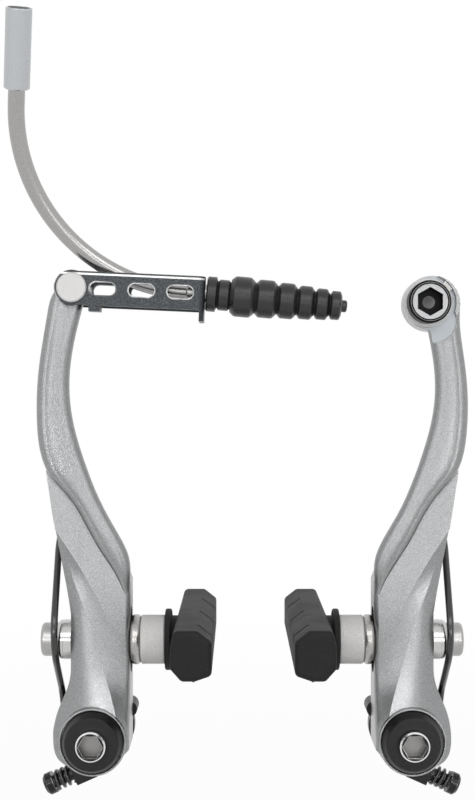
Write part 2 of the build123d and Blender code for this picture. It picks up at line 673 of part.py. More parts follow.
def boss():
    """Pivot boss: a cylinder on a flare that stands to the outside at the back."""
    flare = loft([
        front_plane(ARM_BACK) * Pos(BOSS_FLARE_SHIFT, BOSS_FLARE_DROP) * Circle(BOSS_FLARE_R),
        front_plane(ARM_BACK + BOSS_FLARE_DEPTH) * Circle(BOSS_R),
    ])
    barrel = rod(0, 0, BOSS_R, ARM_BACK + BOSS_FLARE_DEPTH / 2, BOSS_FRONT)
    rim = barrel.edges().sort_by(Axis.Y)[0]
    return flare + chamfer(rim, BOSS_RIM_CHAMFER)


def neck_stations(shares, top):
    """All stations of one neck, up to the top one at its head."""
    bend = NECK_LOW[-1][0]
    high = [(bend + share * (top[0] - bend), *station) for share, station in zip(shares, NECK_HIGH)]
    return NECK_LOW + high + [top]


def arm(stations, head):
    """Forged arm with its neck and head, before the head's own machining."""
    neck = loft([neck_section(*station) for station in stations])
    blank = lower_body() + neck + boss() + head
    bore = rod(0, 0, ARM_BORE_R, 0, BOSS_FRONT + 1)
    cap_pocket = rod(0, 0, CAP_POCKET_R, CAP_POCKET_FLOOR, BOSS_FRONT + 1)
    slot_start = (-PIVOT_SPACING / 2, -SHOE_FRONT, SHOE_HEIGHT)
    slot_plane = Plane(origin=slot_start, x_dir=(0, 0, 1), z_dir=(1, 0, 0))
    slot = extrude(slot_plane * SlotOverall(SHOE_SLOT_HEIGHT, POST_SLOT_WIDTH), PIVOT_SPACING)
    hook_hole = rod(HOOK_X, HOOK_Z, HOOK_R + PRESS_GAP, ARM_BACK, ARM_BACK + HOOK_SEAT_DEPTH)
    return blank - bore - cap_pocket - slot - hook_hole


def left_arm():
    """Left arm: its head is an eye between the link's plates."""
    edges = (PIN_X - HEAD_R, PIN_X + HEAD_R - PIN_NECK_SLIM)
    top = (PIN_HEIGHT, *edges, PIN_NECK_FRONT, NECK_TOP_ROUND, NECK_TOP_ROUND)
    eye = rod(PIN_X, PIN_HEIGHT, HEAD_R, HEAD_BACK, HEAD_FRONT)
    blank = arm(neck_stations(LEFT_NECK_SHARES, top), eye)
    spot_front = rod(PIN_X, PIN_HEIGHT, HEAD_SPOT_R, HEAD_FRONT, CUTTER_FRONT)
    spot_back = rod(PIN_X, PIN_HEIGHT, HEAD_SPOT_R, 0, HEAD_BACK)
    pin_hole = rod(PIN_X, PIN_HEIGHT, LINK_PIN_R + PRESS_GAP, 0, CUTTER_FRONT)
    return blank - spot_front - spot_back - pin_hole


def right_arm():
    """Right arm, modelled as a left one: its head is a machined seat for the cable bolt."""
    head_back = ARM_BACK + NECK_BACK_RISE
    edges = (BOLT_NECK_LEFT, BOLT_NECK_RIGHT)
    top = (BOLT_HEIGHT, *edges, BOLT_NECK_FRONT, NECK_TOP_ROUND, NECK_TOP_ROUND)
    disc = rod(BOLT_X + BOLT_DISC_SHIFT, BOLT_HEIGHT, BOLT_DISC_R, head_back, BOLT_RIM_FRONT)
    blank = arm(neck_stations(RIGHT_NECK_SHARES, top), disc)
    spot = rod(BOLT_X, BOLT_HEIGHT, BOLT_SPOT_R, BOLT_SEAT_FRONT, CUTTER_FRONT)
    spot += rod(
        BOLT_X + BOLT_POCKET_SHIFT, BOLT_HEIGHT + BOLT_POCKET_DROP,
        BOLT_POCKET_R, BOLT_SEAT_FRONT, CUTTER_FRONT,
    )
    hole = rod(BOLT_X, BOLT_HEIGHT, CABLE_BOLT_R + PRESS_GAP, 0, CUTTER_FRONT)
    return blank - spot - hole


def spring_hook():
    """Headed pin behind the arm that the return spring bears on."""
    back = ARM_BACK - HOOK_LENGTH
    shank = rod(HOOK_X, HOOK_Z, HOOK_R, back, ARM_BACK + HOOK_SEAT_DEPTH)
    return shank + rod(HOOK_X, HOOK_Z, HOOK_HEAD_R, back - HOOK_HEAD_THICKNESS, back)


# Shoe

SHOE_PLANE = Plane(origin=(0, -SHOE_FRONT, SHOE_HEIGHT), x_dir=(1, 0, 0), z_dir=(0, -1, 0))
CUP_FACE = ARM_INNER + CUP_THICKNESS
WASHER_END = CUP_FACE + THICK_WASHER_LENGTH
PAD_BACK = WASHER_END + PAD_FLANGE_THICKNESS + PAD_BACK_GAP
PAD_FACE = PAD_BACK + PAD_THICKNESS
OUTER_CUP_FACE = ARM_OUTER - OUTER_CUP_THICKNESS
NUT_SEAT = OUTER_CUP_FACE - OUTER_DOME_THICKNESS
POST_INNER_END = PAD_BACK + POST_PAD_HOLD
INNER_SEAT_MIDDLE = CUP_FACE - SEAT_DEPTH + SEAT_SPHERE_R
OUTER_SEAT_MIDDLE = OUTER_CUP_FACE + OUTER_SEAT_DEPTH - SEAT_SPHERE_R


def sphere_at(x, radius):
    """Ball on the shoe axis, for the spherical washer seats."""
    return SHOE_PLANE * Pos(x, 0, 0) * Rot(0, 90, 0) * Sphere(radius)


def shoe_bush(start, end, radius):
    """Solid bar on the shoe axis between two places."""
    return turned(SHOE_PLANE, [(start, 0), (start, radius), (end, radius), (end, 0)])


def outer_rims(piece, radius):
    """Circular edges of a turned piece that have one radius."""
    circles = piece.edges().filter_by(GeomType.CIRCLE)
    return circles.filter_by(lambda edge: abs(edge.radius - radius) < PRESS_GAP)


def inner_cup_washer():
    """Dished washer with a bulged rim between the arm and the thick washer."""
    blank = shoe_bush(ARM_INNER, CUP_FACE, CUP_R)
    blank = fillet(outer_rims(blank, CUP_R), CUP_ROUND)
    seat = sphere_at(INNER_SEAT_MIDDLE, SEAT_SPHERE_R)
    return blank - seat - shoe_bush(ARM_INNER, CUP_FACE, POST_BORE_R)


def thick_washer():
    """Spacer washer with a domed nose that sits in the cup."""
    nose = CUP_FACE - SEAT_DEPTH - NOSE_DEPTH
    collar = CUP_FACE + FACE_GAP
    outline = [
        (nose, POST_BORE_R),
        (nose, CUP_R - NOSE_RIM),
        (collar, CUP_R - NOSE_RIM),
        (collar, THICK_WASHER_R - THICK_WASHER_CHAMFER),
        (collar + THICK_WASHER_CHAMFER, THICK_WASHER_R),
        (WASHER_END - THICK_WASHER_CHAMFER, THICK_WASHER_R),
        (WASHER_END, THICK_WASHER_R - THICK_WASHER_CHAMFER),
        (WASHER_END, POST_BORE_R),
    ]
    dome = sphere_at(INNER_SEAT_MIDDLE, SEAT_SPHERE_R - SEAT_GAP)
    collar_room = shoe_bush(collar, WASHER_END, PAD_FLANGE_R)
    return turned(SHOE_PLANE, outline) & (dome + collar_room)


def outer_cup_washer():
    """Dished washer on the outside of the arm."""
    blank = shoe_bush(OUTER_CUP_FACE, ARM_OUTER, OUTER_CUP_R)
    seat = sphere_at(OUTER_SEAT_MIDDLE, SEAT_SPHERE_R)
    return blank - seat - shoe_bush(OUTER_CUP_FACE, ARM_OUTER, POST_BORE_R)


def outer_dome_washer():
    """Washer with a domed nose in the outer cup and a rounded end under the shoe nut."""
    collar = OUTER_CUP_FACE - FACE_GAP
    nose = OUTER_CUP_FACE + OUTER_NOSE_DEPTH
    body = shoe_bush(NUT_SEAT, collar, OUTER_DOME_R)
    body = fillet(body.edges().filter_by(GeomType.CIRCLE).sort_by(Axis.X)[0], OUTER_DOME_ROUND)
    blank = shoe_bush(NUT_SEAT, nose, OUTER_CUP_R - OUTER_NOSE_RIM)
    dome = blank & sphere_at(OUTER_SEAT_MIDDLE, SEAT_SPHERE_R - SEAT_GAP)
    return body + dome - shoe_bush(NUT_SEAT, nose, POST_BORE_R)


def shoe_nut():
    """Socket cap nut on the outer end of the post."""
    end = NUT_SEAT - NUT_LENGTH
    blank = shoe_bush(end, NUT_SEAT, NUT_R)
    blank = fillet(blank.edges().filter_by(GeomType.CIRCLE).sort_by(Axis.X)[0], NUT_ROUND)
    thread = shoe_bush(NUT_SEAT - NUT_FLOOR, NUT_SEAT, POST_BORE_R)
    socket_start = (end, -SHOE_FRONT, SHOE_HEIGHT)
    socket_plane = Plane(origin=socket_start, x_dir=(0, 1, 0), z_dir=(1, 0, 0))
    return blank - thread - extrude(socket_plane * hexagon(NUT_HEX), NUT_HEX_DEPTH)


def shoe_post():
    """Threaded post moulded into the pad and clamped through the arm's slot."""
    outer = NUT_SEAT - POST_NUT_HOLD
    outline = [
        (outer, 0),
        (outer, POST_R - POST_TIP_CHAMFER),
        (outer + POST_TIP_CHAMFER, POST_R),
        (POST_INNER_END, POST_R),
        (POST_INNER_END, 0),
    ]
    return turned(SHOE_PLANE, outline)


def brake_pad():
    """Moulded pad with its hub flange: bevelled friction side with water slits."""
    section = make_face(Polyline(
        (PAD_BACK, PAD_TOP - PAD_SHOULDER),
        (PAD_BACK + PAD_SHOULDER_RUN, PAD_TOP),
        (PAD_BACK + PAD_TOP_WIDTH, PAD_TOP),
        (PAD_FACE, PAD_TOP - PAD_BEVEL),
        (PAD_FACE, PAD_BOTTOM + PAD_FOOT_RISE),
        (PAD_BACK + PAD_FOOT_FRONT, PAD_BOTTOM),
        (PAD_BACK + PAD_FOOT_BACK, PAD_BOTTOM),
        (PAD_BACK, PAD_BOTTOM + PAD_HEEL),
        close=True,
    ))
    section = fillet(section.vertices(), PAD_CORNER_R)
    length = PAD_LENGTH_FRONT + PAD_LENGTH_BACK
    body = extrude(SHOE_PLANE.offset(-PAD_LENGTH_BACK) * section, length)
    body = fillet(body.faces().filter_by(Axis.Y).edges(), PAD_END_R)
    flash_face = Pos(PAD_BACK + PAD_FLASH_X, PAD_BOTTOM) * Rectangle(PAD_FLASH, 2 * PAD_FLASH)
    flash_back = PAD_LENGTH_BACK - 2 * PAD_END_R
    body += extrude(SHOE_PLANE.offset(-flash_back) * flash_face, length - 4 * PAD_END_R)
    flange_end = WASHER_END + PAD_FLANGE_THICKNESS
    flange = shoe_bush(WASHER_END, flange_end, PAD_FLANGE_R)
    flange = fillet(outer_rims(flange, PAD_FLANGE_R), PAD_FLANGE_ROUND)
    hub = shoe_bush(WASHER_END, PAD_BACK + PAD_HUB_SINK, PAD_HUB_R)
    slit_face = make_face(Polyline(
        (PAD_BACK + PAD_FOOT_FRONT, PAD_TOP + PAD_SLIT_DEPTH),
        (PAD_BACK + PAD_TOP_WIDTH, PAD_TOP - PAD_SLIT_DEPTH),
        (PAD_FACE - PAD_SLIT_DEPTH, PAD_TOP - PAD_BEVEL - PAD_SLIT_DEPTH),
        (PAD_FACE + PAD_SLIT_DEPTH, PAD_TOP - PAD_SLIT_LOW),
        (PAD_FACE + PAD_SLIT_DEPTH, PAD_TOP + PAD_SLIT_DEPTH),
        close=True,
    ))
    slits = []
    for index in range(PAD_SLIT_COUNT):
        along = PAD_LENGTH_FRONT - PAD_SLIT_FIRST - index * PAD_SLIT_PITCH
        slits.append(extrude(SHOE_PLANE.offset(along) * slit_face, PAD_SLIT))
    post_hole = shoe_bush(WASHER_END, POST_INNER_END + POST_GAP, POST_BORE_R)
    return body + flange + hub - post_hole - slits


# Cable bolt on the right arm, modelled as on a left arm

def cable_washer():
    """Clamp washer under the cable bolt, with a tab that stops it turning."""
    back = BOLT_SEAT_FRONT
    front = back + CABLE_WASHER_THICKNESS
    middle = front_plane(back) * Pos(BOLT_X, BOLT_HEIGHT)
    tab_face = Rot(0, 0, CABLE_TAB_ANGLE) * Pos(CABLE_WASHER_R, 0) * Rectangle(
        2 * CABLE_TAB_REACH, CABLE_TAB_WIDTH
    )
    disc = extrude(middle * (Circle(CABLE_WASHER_R) + tab_face), CABLE_WASHER_THICKNESS)
    return disc - rod(BOLT_X, BOLT_HEIGHT, CABLE_BOLT_R + CABLE_WASHER_GAP, back, front)


def cable_bolt():
    """Socket-head bolt that clamps the cable on the right arm."""
    seat = BOLT_SEAT_FRONT + CABLE_WASHER_THICKNESS
    top = seat + CABLE_HEAD_HEIGHT
    ring = top - CABLE_RING_DROP
    rim_r = CABLE_HEAD_R - CABLE_HEAD_CHAMFER
    tip = ARM_BACK + CABLE_TIP_RECESS
    outline = [
        (tip, 0),
        (tip, CABLE_BOLT_R - CABLE_TIP_CHAMFER),
        (tip + CABLE_TIP_CHAMFER, CABLE_BOLT_R),
        (seat, CABLE_BOLT_R),
        (seat, CABLE_HEAD_R),
        (top - CABLE_HEAD_CHAMFER, CABLE_HEAD_R),
        (top, rim_r),
        (ring, rim_r - CABLE_RING_SLOPE),
        (ring, 0),
    ]
    place = Plane(origin=(BOLT_X, 0, BOLT_HEIGHT), x_dir=(0, -1, 0), z_dir=(1, 0, 0))
    floor = seat + CABLE_SOCKET_FLOOR
    socket_face = Pos(BOLT_X, BOLT_HEIGHT) * hexagon(CABLE_HEX, 30)
    socket = extrude(front_plane(floor) * socket_face, CABLE_HEAD_HEIGHT)
    drill = turned(place, [(floor - CABLE_DRILL_DEPTH, 0), (floor, CABLE_DRILL_R), (top, 0)])
    return turned(place, outline) - socket - drill


# Link and its pin

LINK_PLACE = Plane(
    origin=(PIN_X, 0, PIN_HEIGHT),
    x_dir=(cos(radians(LINK_SLOPE)), 0, sin(radians(LINK_SLOPE))),
    z_dir=(0, -1, 0),
)


def link_pin():
    """Headed pin through the link's eyes and the arm's eye."""
    head_front = LINK_FRONT + LINK_PIN_HEAD_THICKNESS
    tail_back = LINK_BACK - LINK_PIN_TAIL
    shank = rod(PIN_X, PIN_HEIGHT, LINK_PIN_R, tail_back, head_front)
    head = rod(PIN_X, PIN_HEIGHT, LINK_PIN_HEAD_R, LINK_FRONT + LINK_PIN_SIDE_GAP, head_front)
    head = chamfer(head.edges().sort_by(Axis.Y)[0], LINK_PIN_CHAMFER)
    rivet = rod(PIN_X, PIN_HEIGHT, LINK_PIN_TAIL_R, tail_back, LINK_BACK - LINK_PIN_SIDE_GAP)
    return shank + head + rivet


def nose_plane():
    """Plane at the end plate's outer face, X along the nose axis to the right."""
    end = LINK_PLACE.from_local_coords((LINK_LENGTH, NOSE_RISE, ARM_MID))
    slope = radians(NOSE_SLOPE)
    return Plane(origin=end, x_dir=(cos(slope), 0, sin(slope)), z_dir=(0, -1, 0))


def cable_link():
    """Folded channel: two slotted side plates joined by a keyhole end plate."""
    outer = LINK_HALF_GAP + LINK_SHEET
    height = LINK_HALF_HEIGHT + LINK_LEG + LINK_EYE_R
    below = -(LINK_HALF_HEIGHT + LINK_LEG)
    length = LINK_LENGTH + LINK_EYE_R
    middle = Pos((LINK_LENGTH - LINK_EYE_R) / 2, 0)
    plan = middle * RectangleRounded(length, 2 * outer, LINK_BEND_R)
    void = middle * RectangleRounded(length - 2 * LINK_SHEET, 2 * LINK_HALF_GAP, LINK_CORNER_R)
    open_end = Pos(-LINK_EYE_R, 0) * Rectangle(2 * LINK_EYE_R, 2 * LINK_HALF_GAP)
    square_eye = Pos(-LINK_EYE_R / 2, 0) * Rectangle(LINK_EYE_R, 2 * outer)
    channel = extrude(plan + square_eye - void - open_end, height)
    channel = Pos(0, 0, below) * channel
    pin_middle = LINK_PLACE.from_local_coords((0, 0, ARM_MID))
    upright = Plane(origin=pin_middle, x_dir=LINK_PLACE.x_dir, z_dir=LINK_PLACE.y_dir)
    channel = upright * channel
    side = Circle(LINK_EYE_R)
    side += Pos(LINK_LENGTH / 2, 0) * Rectangle(LINK_LENGTH, 2 * LINK_HALF_HEIGHT)
    side += Pos(LINK_LENGTH - LINK_SHEET / 2, -LINK_LEG / 2) * Rectangle(
        LINK_SHEET, 2 * LINK_HALF_HEIGHT + LINK_LEG
    )
    for index in range(3):
        middle = LINK_SLOT_FIRST + index * LINK_SLOT_PITCH
        side -= Pos(middle, 0) * SlotOverall(LINK_SLOT_LENGTH, LINK_SLOT_WIDTH)
    side -= Circle(LINK_PIN_R + RUNNING_CLEARANCE)
    shape = extrude(LINK_PLACE.offset(LINK_BACK - 1) * side, LINK_FRONT - LINK_BACK + 2)
    tab_height = LINK_TAB_DROP + LINK_SHEET
    tab_bottom = -LINK_HALF_HEIGHT - LINK_TAB_DROP
    tab_corner = Pos(LINK_TAB_START, tab_bottom)
    tab_face = tab_corner * Rectangle(LINK_TAB_WIDTH, tab_height, align=(Align.MIN, Align.MIN))
    tab_back = LINK_FRONT - LINK_SHEET - LINK_TAB_REACH
    tab = extrude(LINK_PLACE.offset(tab_back) * tab_face, LINK_FRONT - tab_back)
    nose = nose_plane()
    cut_start = nose.origin - nose.x_dir * KEYHOLE_CUT / 2
    across = Plane(cut_start, x_dir=(0, -1, 0), z_dir=nose.x_dir)
    keyhole = extrude(across * Circle(KEYHOLE_R), KEYHOLE_CUT)
    keyhole += extrude(across * Pos(0, -height / 2) * Rectangle(KEYHOLE_SLOT, height), KEYHOLE_CUT)
    return (channel & shape) + tab - keyhole


# Noodle

def noodle_path():
    """Centre line of the bent tube, from the nose up to its end inside the ferrule."""
    nose = nose_plane()
    lean = radians(NOODLE_LEAN)
    along = -nose.x_dir
    up = nose.y_dir * cos(lean) + Vector(0, -1, 0) * sin(lean)
    plane = Plane(nose.origin, x_dir=along, z_dir=along.cross(up))
    bend_start = (NOODLE_START, 0)
    turn = radians(NOODLE_BEND)
    bend_mid = (NOODLE_START + NOODLE_BEND_R * sin(turn / 2), NOODLE_BEND_R * (1 - cos(turn / 2)))
    bend_end = (NOODLE_START + NOODLE_BEND_R * sin(turn), NOODLE_BEND_R * (1 - cos(turn)))
    tail = NOODLE_STUB + FERRULE_LENGTH - FERRULE_BORE_DEPTH
    tail_end = (bend_end[0] + tail * cos(turn), bend_end[1] + tail * sin(turn))
    path = Line((LINK_SHEET, 0), bend_start) + ThreePointArc(bend_start, bend_mid, bend_end)
    path += Line(bend_end, tail_end)
    stub_end = (bend_end[0] + NOODLE_STUB * cos(turn), bend_end[1] + NOODLE_STUB * sin(turn))
    seat = plane.from_local_coords((stub_end[0], stub_end[1], 0))
    out = plane.x_dir * cos(turn) + plane.y_dir * sin(turn)
    ferrule = Plane(seat, x_dir=out, z_dir=plane.z_dir)
    return plane * path, ferrule


def noodle_pipe(radius, bore_r):
    """Hollow tube along the noodle's centre line."""
    path = noodle_path()[0]
    section = Circle(radius) - Circle(bore_r)
    return sweep(Plane(path @ 0, z_dir=path % 0) * section, path)


def noodle_tube():
    """Bent steel guide tube."""
    return noodle_pipe(TUBE_R, TUBE_BORE_R)


def noodle_liner():
    """Low-friction liner inside the tube."""
    return noodle_pipe(LINER_R, LINER_BORE_R)


def noodle_ferrule():
    """Turned sleeve on the tube's upper end that takes the outer cable."""
    ferrule = noodle_path()[1]
    floor = FERRULE_LENGTH - FERRULE_BORE_DEPTH
    tube_room = TUBE_R + PRESS_GAP
    outline = [
        (0, tube_room),
        (0, FERRULE_R - FERRULE_FOOT_CHAMFER),
        (FERRULE_FOOT_CHAMFER, FERRULE_R),
        (FERRULE_LENGTH - FERRULE_MOUTH_CHAMFER, FERRULE_R),
        (FERRULE_LENGTH, FERRULE_R - FERRULE_MOUTH_CHAMFER),
        (FERRULE_LENGTH, FERRULE_BORE_R),
        (floor, FERRULE_BORE_R),
        (floor, tube_room),
    ]
    return turned(ferrule, outline)


def noodle_nose():
    """Turned tip on the tube's lower end: shoulder behind the end plate, spigot through it."""
    shoulder = -LINK_SHEET - NOSE_GAP
    back = shoulder - NOSE_SHOULDER_LENGTH
    tube_room = TUBE_R + PRESS_GAP
    tube_end = -LINK_SHEET + PRESS_GAP
    outline = [
        (back, tube_room),
        (back, NOSE_SHOULDER_R - NOSE_SHOULDER_CHAMFER),
        (back + NOSE_SHOULDER_CHAMFER, NOSE_SHOULDER_R),
        (shoulder, NOSE_SHOULDER_R),
        (shoulder, NOSE_R),
        (NOSE_REACH - NOSE_TIP_LENGTH, NOSE_R),
        (NOSE_REACH, NOSE_R - NOSE_TIP_STEP),
        (NOSE_REACH, LINER_BORE_R),
        (tube_end, LINER_BORE_R),
        (tube_end, tube_room),
    ]
    return turned(nose_plane(), outline)


def boot_barrel(start, length, radius):
    """Outline of one barrel of the boot: bevels up from the groove on each side of it."""
    valley = radius - BOOT_GROOVE
    bevel = BOOT_BEVEL * length
    end = start + length
    return [
        (start + BOOT_GROOVE_HALF, valley),
        (start + bevel, radius - BOOT_BEVEL_RISE),
        (start + BOOT_CROWN * bevel, radius),
        (end - BOOT_CROWN * bevel, radius),
        (end - bevel, radius - BOOT_BEVEL_RISE),
        (end - BOOT_GROOVE_HALF, valley),
    ]


def noodle_boot():
    """Ribbed rubber boot over the nose: a lip, a ring and barrels that shrink to a nipple."""
    start = FREE_CLEARANCE
    bore = NOSE_R + RUNNING_CLEARANCE
    along = start + BOOT_LIP_LENGTH
    groove_r = BOOT_RING_R - BOOT_RING_GROOVE
    outline = [
        (start, bore),
        (start, BOOT_LIP_R - BOOT_LIP_ROUND),
        (start + BOOT_LIP_ROUND, BOOT_LIP_R),
        (along - BOOT_LIP_ROUND, BOOT_LIP_R),
        (along, groove_r),
        (along + BOOT_RING_GROOVE, BOOT_RING_R),
    ]
    along += BOOT_RING_LENGTH
    outline += [(along - BOOT_RING_GROOVE, BOOT_RING_R), (along, groove_r)]
    for index in range(BOOT_BARRELS):
        share = index / (BOOT_BARRELS - 1)
        radius = BOOT_FIRST_R + (BOOT_LAST_R - BOOT_FIRST_R) * share
        length = BOOT_FIRST_LENGTH + (BOOT_LAST_LENGTH - BOOT_FIRST_LENGTH) * share
        outline += boot_barrel(along, length, radius)
        along += length
    end = along + BOOT_NIPPLE_LENGTH
    cavity = NOSE_REACH + NOSE_GAP
    outline += [
        (along, BOOT_NIPPLE_R),
        (end - BOOT_NIPPLE_CHAMFER, BOOT_NIPPLE_R),
        (end, BOOT_NIPPLE_R - BOOT_NIPPLE_CHAMFER),
        (end, LINER_BORE_R),
        (cavity, LINER_BORE_R),
        (cavity, bore),
    ]
    return turned(nose_plane(), outline)


# Write one file per node

PAIRED = {
    "pivot_sleeve": pivot_sleeve,
    "spring_base": spring_base,
    "stop_pin": stop_pin,
    "pivot_bolt": pivot_bolt,
    "pivot_cap": pivot_cap,
    "return_spring": return_spring,
    "tension_screw": tension_screw,
    "tension_spring": tension_spring,
    "spring_hook": spring_hook,
    "brake_pad": brake_pad,
    "shoe_post": shoe_post,
    "thick_washer": thick_washer,
    "inner_cup_washer": inner_cup_washer,
    "outer_cup_washer": outer_cup_washer,
    "outer_dome_washer": outer_dome_washer,
    "shoe_nut": shoe_nut,
}
LEFT_ONLY = {
    "left_arm": left_arm,
    "link_pin": link_pin,
    "cable_link": cable_link,
    "noodle_tube": noodle_tube,
    "noodle_liner": noodle_liner,
    "noodle_ferrule": noodle_ferrule,
    "noodle_nose": noodle_nose,
    "noodle_boot": noodle_boot,
}
RIGHT_ONLY = {
    "right_arm": right_arm,
    "cable_washer": cable_washer,
    "cable_bolt": cable_bolt,
}


def main():
    """Build every piece and write its file."""
    os.makedirs("parts", exist_ok=True)
    for name, build in PAIRED.items():
        piece = build()
        export_step(left_place(piece), f"parts/left_{name}.step")
        export_step(right_place(piece), f"parts/right_{name}.step")
    for name, build in LEFT_ONLY.items():
        export_step(left_place(build()), f"parts/{name}.step")
    for name, build in RIGHT_ONLY.items():
        export_step(right_place(build()), f"parts/{name}.step")


main()
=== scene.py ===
# %% [markdown]
# # A linear-pull bicycle brake, dressed for a studio picture
# The brake is a pair of forged arms that turn on two frame bosses. Its solids come from a CAD model,
# which is loaded here as a fixed frame: nothing in it is moved. Blender adds what CAD leaves out:
# the finishes, the bent spring wires and coils, the threads, the light and the camera.
# The box of the loaded model is kept, and the floor is placed below it.

# %% Load the solid model
import math

import bpy
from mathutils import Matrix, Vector


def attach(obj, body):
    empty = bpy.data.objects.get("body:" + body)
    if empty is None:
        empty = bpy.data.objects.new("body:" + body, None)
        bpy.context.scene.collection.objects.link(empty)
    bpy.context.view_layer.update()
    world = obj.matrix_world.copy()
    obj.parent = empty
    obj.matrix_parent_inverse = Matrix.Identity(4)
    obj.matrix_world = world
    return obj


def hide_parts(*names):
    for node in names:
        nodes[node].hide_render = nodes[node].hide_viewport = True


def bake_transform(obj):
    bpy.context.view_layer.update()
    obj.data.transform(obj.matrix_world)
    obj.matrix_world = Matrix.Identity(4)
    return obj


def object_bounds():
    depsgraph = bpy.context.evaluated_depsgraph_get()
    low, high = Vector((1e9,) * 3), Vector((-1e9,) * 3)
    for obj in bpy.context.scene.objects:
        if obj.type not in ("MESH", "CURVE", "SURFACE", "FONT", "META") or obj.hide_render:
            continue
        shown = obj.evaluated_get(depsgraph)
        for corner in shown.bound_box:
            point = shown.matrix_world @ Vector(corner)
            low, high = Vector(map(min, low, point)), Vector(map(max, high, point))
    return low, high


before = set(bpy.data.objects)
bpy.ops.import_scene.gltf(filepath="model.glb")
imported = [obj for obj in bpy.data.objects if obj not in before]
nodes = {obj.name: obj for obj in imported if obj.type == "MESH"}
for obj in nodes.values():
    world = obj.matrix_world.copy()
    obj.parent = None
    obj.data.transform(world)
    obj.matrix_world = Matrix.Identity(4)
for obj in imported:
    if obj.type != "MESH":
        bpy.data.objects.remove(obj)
cad_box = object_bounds()
MM = 0.001
print("solid pieces:", len(nodes))

# %% [markdown]
# ## Camera
# The picture was taken from straight in front, level with the upper part of the arms and close
# enough for the pads to show their ends. A camera could be fitted by eye, but two numbers fix it:
# its distance to the arms' middle plane, and the height of the picture in that plane. The lens
# follows from them.

# %% Camera
CAMERA_PLACE = Vector((-3.5, -353.0, 80.2)) * MM
ARM_PLANE_DISTANCE = 340.0 * MM
PICTURE_HEIGHT = 191.8 * MM
SENSOR = 36.0
CLIP_START = 10.0 * MM

scene = bpy.context.scene
scene.view_settings.view_transform = "Standard"
camera_data = bpy.data.cameras.new("photo_camera")
camera_data.sensor_width = SENSOR
camera_data.lens = SENSOR * ARM_PLANE_DISTANCE / PICTURE_HEIGHT
camera_data.clip_start = CLIP_START
camera = bpy.data.objects.new("photo_camera", camera_data)
camera.location = CAMERA_PLACE
camera.rotation_euler = (math.radians(90), 0, 0)
scene.collection.objects.link(camera)
scene.camera = camera
print("lens:", round(camera_data.lens, 1))

# %% [markdown]
# ## A helper for node trees
# Shaders, the world and Geometry Nodes are all node trees. One short function adds a node, sets its
# options, and either links an input or gives it a value, so each tree below reads as a list of steps.

# %% Node helper
def put(tree, kind, inputs=None, **options):
    """Add one node; inputs are values or output sockets, keyed by name or number."""
    made = tree.nodes.new(kind)
    for name, value in options.items():
        setattr(made, name, value)
    for key, value in (inputs or {}).items():
        if isinstance(value, bpy.types.NodeSocket):
            tree.links.new(value, made.inputs[key])
        else:
            made.inputs[key].default_value = value
    return made


def maths(tree, operation, *values, clamp=False):
    """One Math node's result."""
    inputs = dict(enumerate(values))
    return put(tree, "ShaderNodeMath", inputs, operation=operation, use_clamp=clamp).outputs[0]


def ramp(tree, value, low, high, to_low=0.0, to_high=1.0):
    """A smooth change from to_low to to_high while value goes from low to high."""
    inputs = {"Value": value, "From Min": low, "From Max": high, "To Min": to_low, "To Max": to_high}
    return put(tree, "ShaderNodeMapRange", inputs, interpolation_type="SMOOTHSTEP").outputs[0]


def blend_colour(tree, factor, first, second):
    """A colour between two others."""
    return put(tree, "ShaderNodeMix", {0: factor, 6: first, 7: second}, data_type="RGBA").outputs[2]


def looked_at(tree):
    """1 for rays from the camera and for those that metal mirrors or clear pieces let through."""
    ray = put(tree, "ShaderNodeLightPath")
    clear = maths(tree, "MAXIMUM", ray.outputs["Is Camera Ray"], ray.outputs["Is Transmission Ray"])
    return maths(tree, "MAXIMUM", clear, ray.outputs["Is Glossy Ray"])


# %% [markdown]
# ## Studio
# The camera sees plain white all round, and metal mirrors that same white, so that it keeps the colour
# it is written with. What surfaces scatter comes from a dim studio instead, which depends on direction:
# a grey wall in front that ends at table height, pale paper straight behind the object, a faint
# ceiling, and dark to both sides and below.

# %% World
ROOM_SIDE = 0.035
ROOM_FRONT = 0.25
ROOM_BACK = 0.85
ROOM_TOP = 0.06
WALL_SIDES = (-0.60, -0.88)
WALL_FOOT = (-0.03, 0.02)
BACK_EDGE = (0.80, 0.97)
CEILING_EDGE = (0.45, 0.95)
WHITE = (1, 1, 1, 1)

world = bpy.data.worlds.new("studio")
world.use_nodes = True
scene.world = world
tree = world.node_tree
tree.nodes.clear()
direction = put(tree, "ShaderNodeSeparateXYZ", {0: put(tree, "ShaderNodeTexCoord").outputs["Generated"]})
wall = maths(tree, "MULTIPLY", ramp(tree, direction.outputs["Y"], *WALL_SIDES),
             ramp(tree, direction.outputs["Z"], *WALL_FOOT))
front = maths(tree, "MULTIPLY", wall, ROOM_FRONT)
back = ramp(tree, direction.outputs["Y"], *BACK_EDGE, 0.0, ROOM_BACK)
top = ramp(tree, direction.outputs["Z"], *CEILING_EDGE, 0.0, ROOM_TOP)
level = maths(tree, "ADD", maths(tree, "ADD", front, back), maths(tree, "ADD", top, ROOM_SIDE))
room = put(tree, "ShaderNodeBackground", {"Color": level})
white = put(tree, "ShaderNodeBackground", {"Color": WHITE})
mixed = put(tree, "ShaderNodeMixShader", {0: looked_at(tree), 1: room.outputs[0], 2: white.outputs[0]})
put(tree, "ShaderNodeOutputWorld", {"Surface": mixed.outputs[0]})

# %% [markdown]
# ## Floor
# The brake hangs a little above a sheet of white paper. To the camera, and in what metal mirrors, the
# paper is almost white and fades to full white with distance, so that no horizon shows. Near the brake
# a small share of it is real paper that takes a shadow.

# %% Floor
FLOOR_DROP = 32.0 * MM
FLOOR_HALF = 3.0
FLOOR_WHITE_NEAR = 0.97
FLOOR_FADE = (0.12, 0.60)
PAPER = (0.86, 0.86, 0.86, 1)

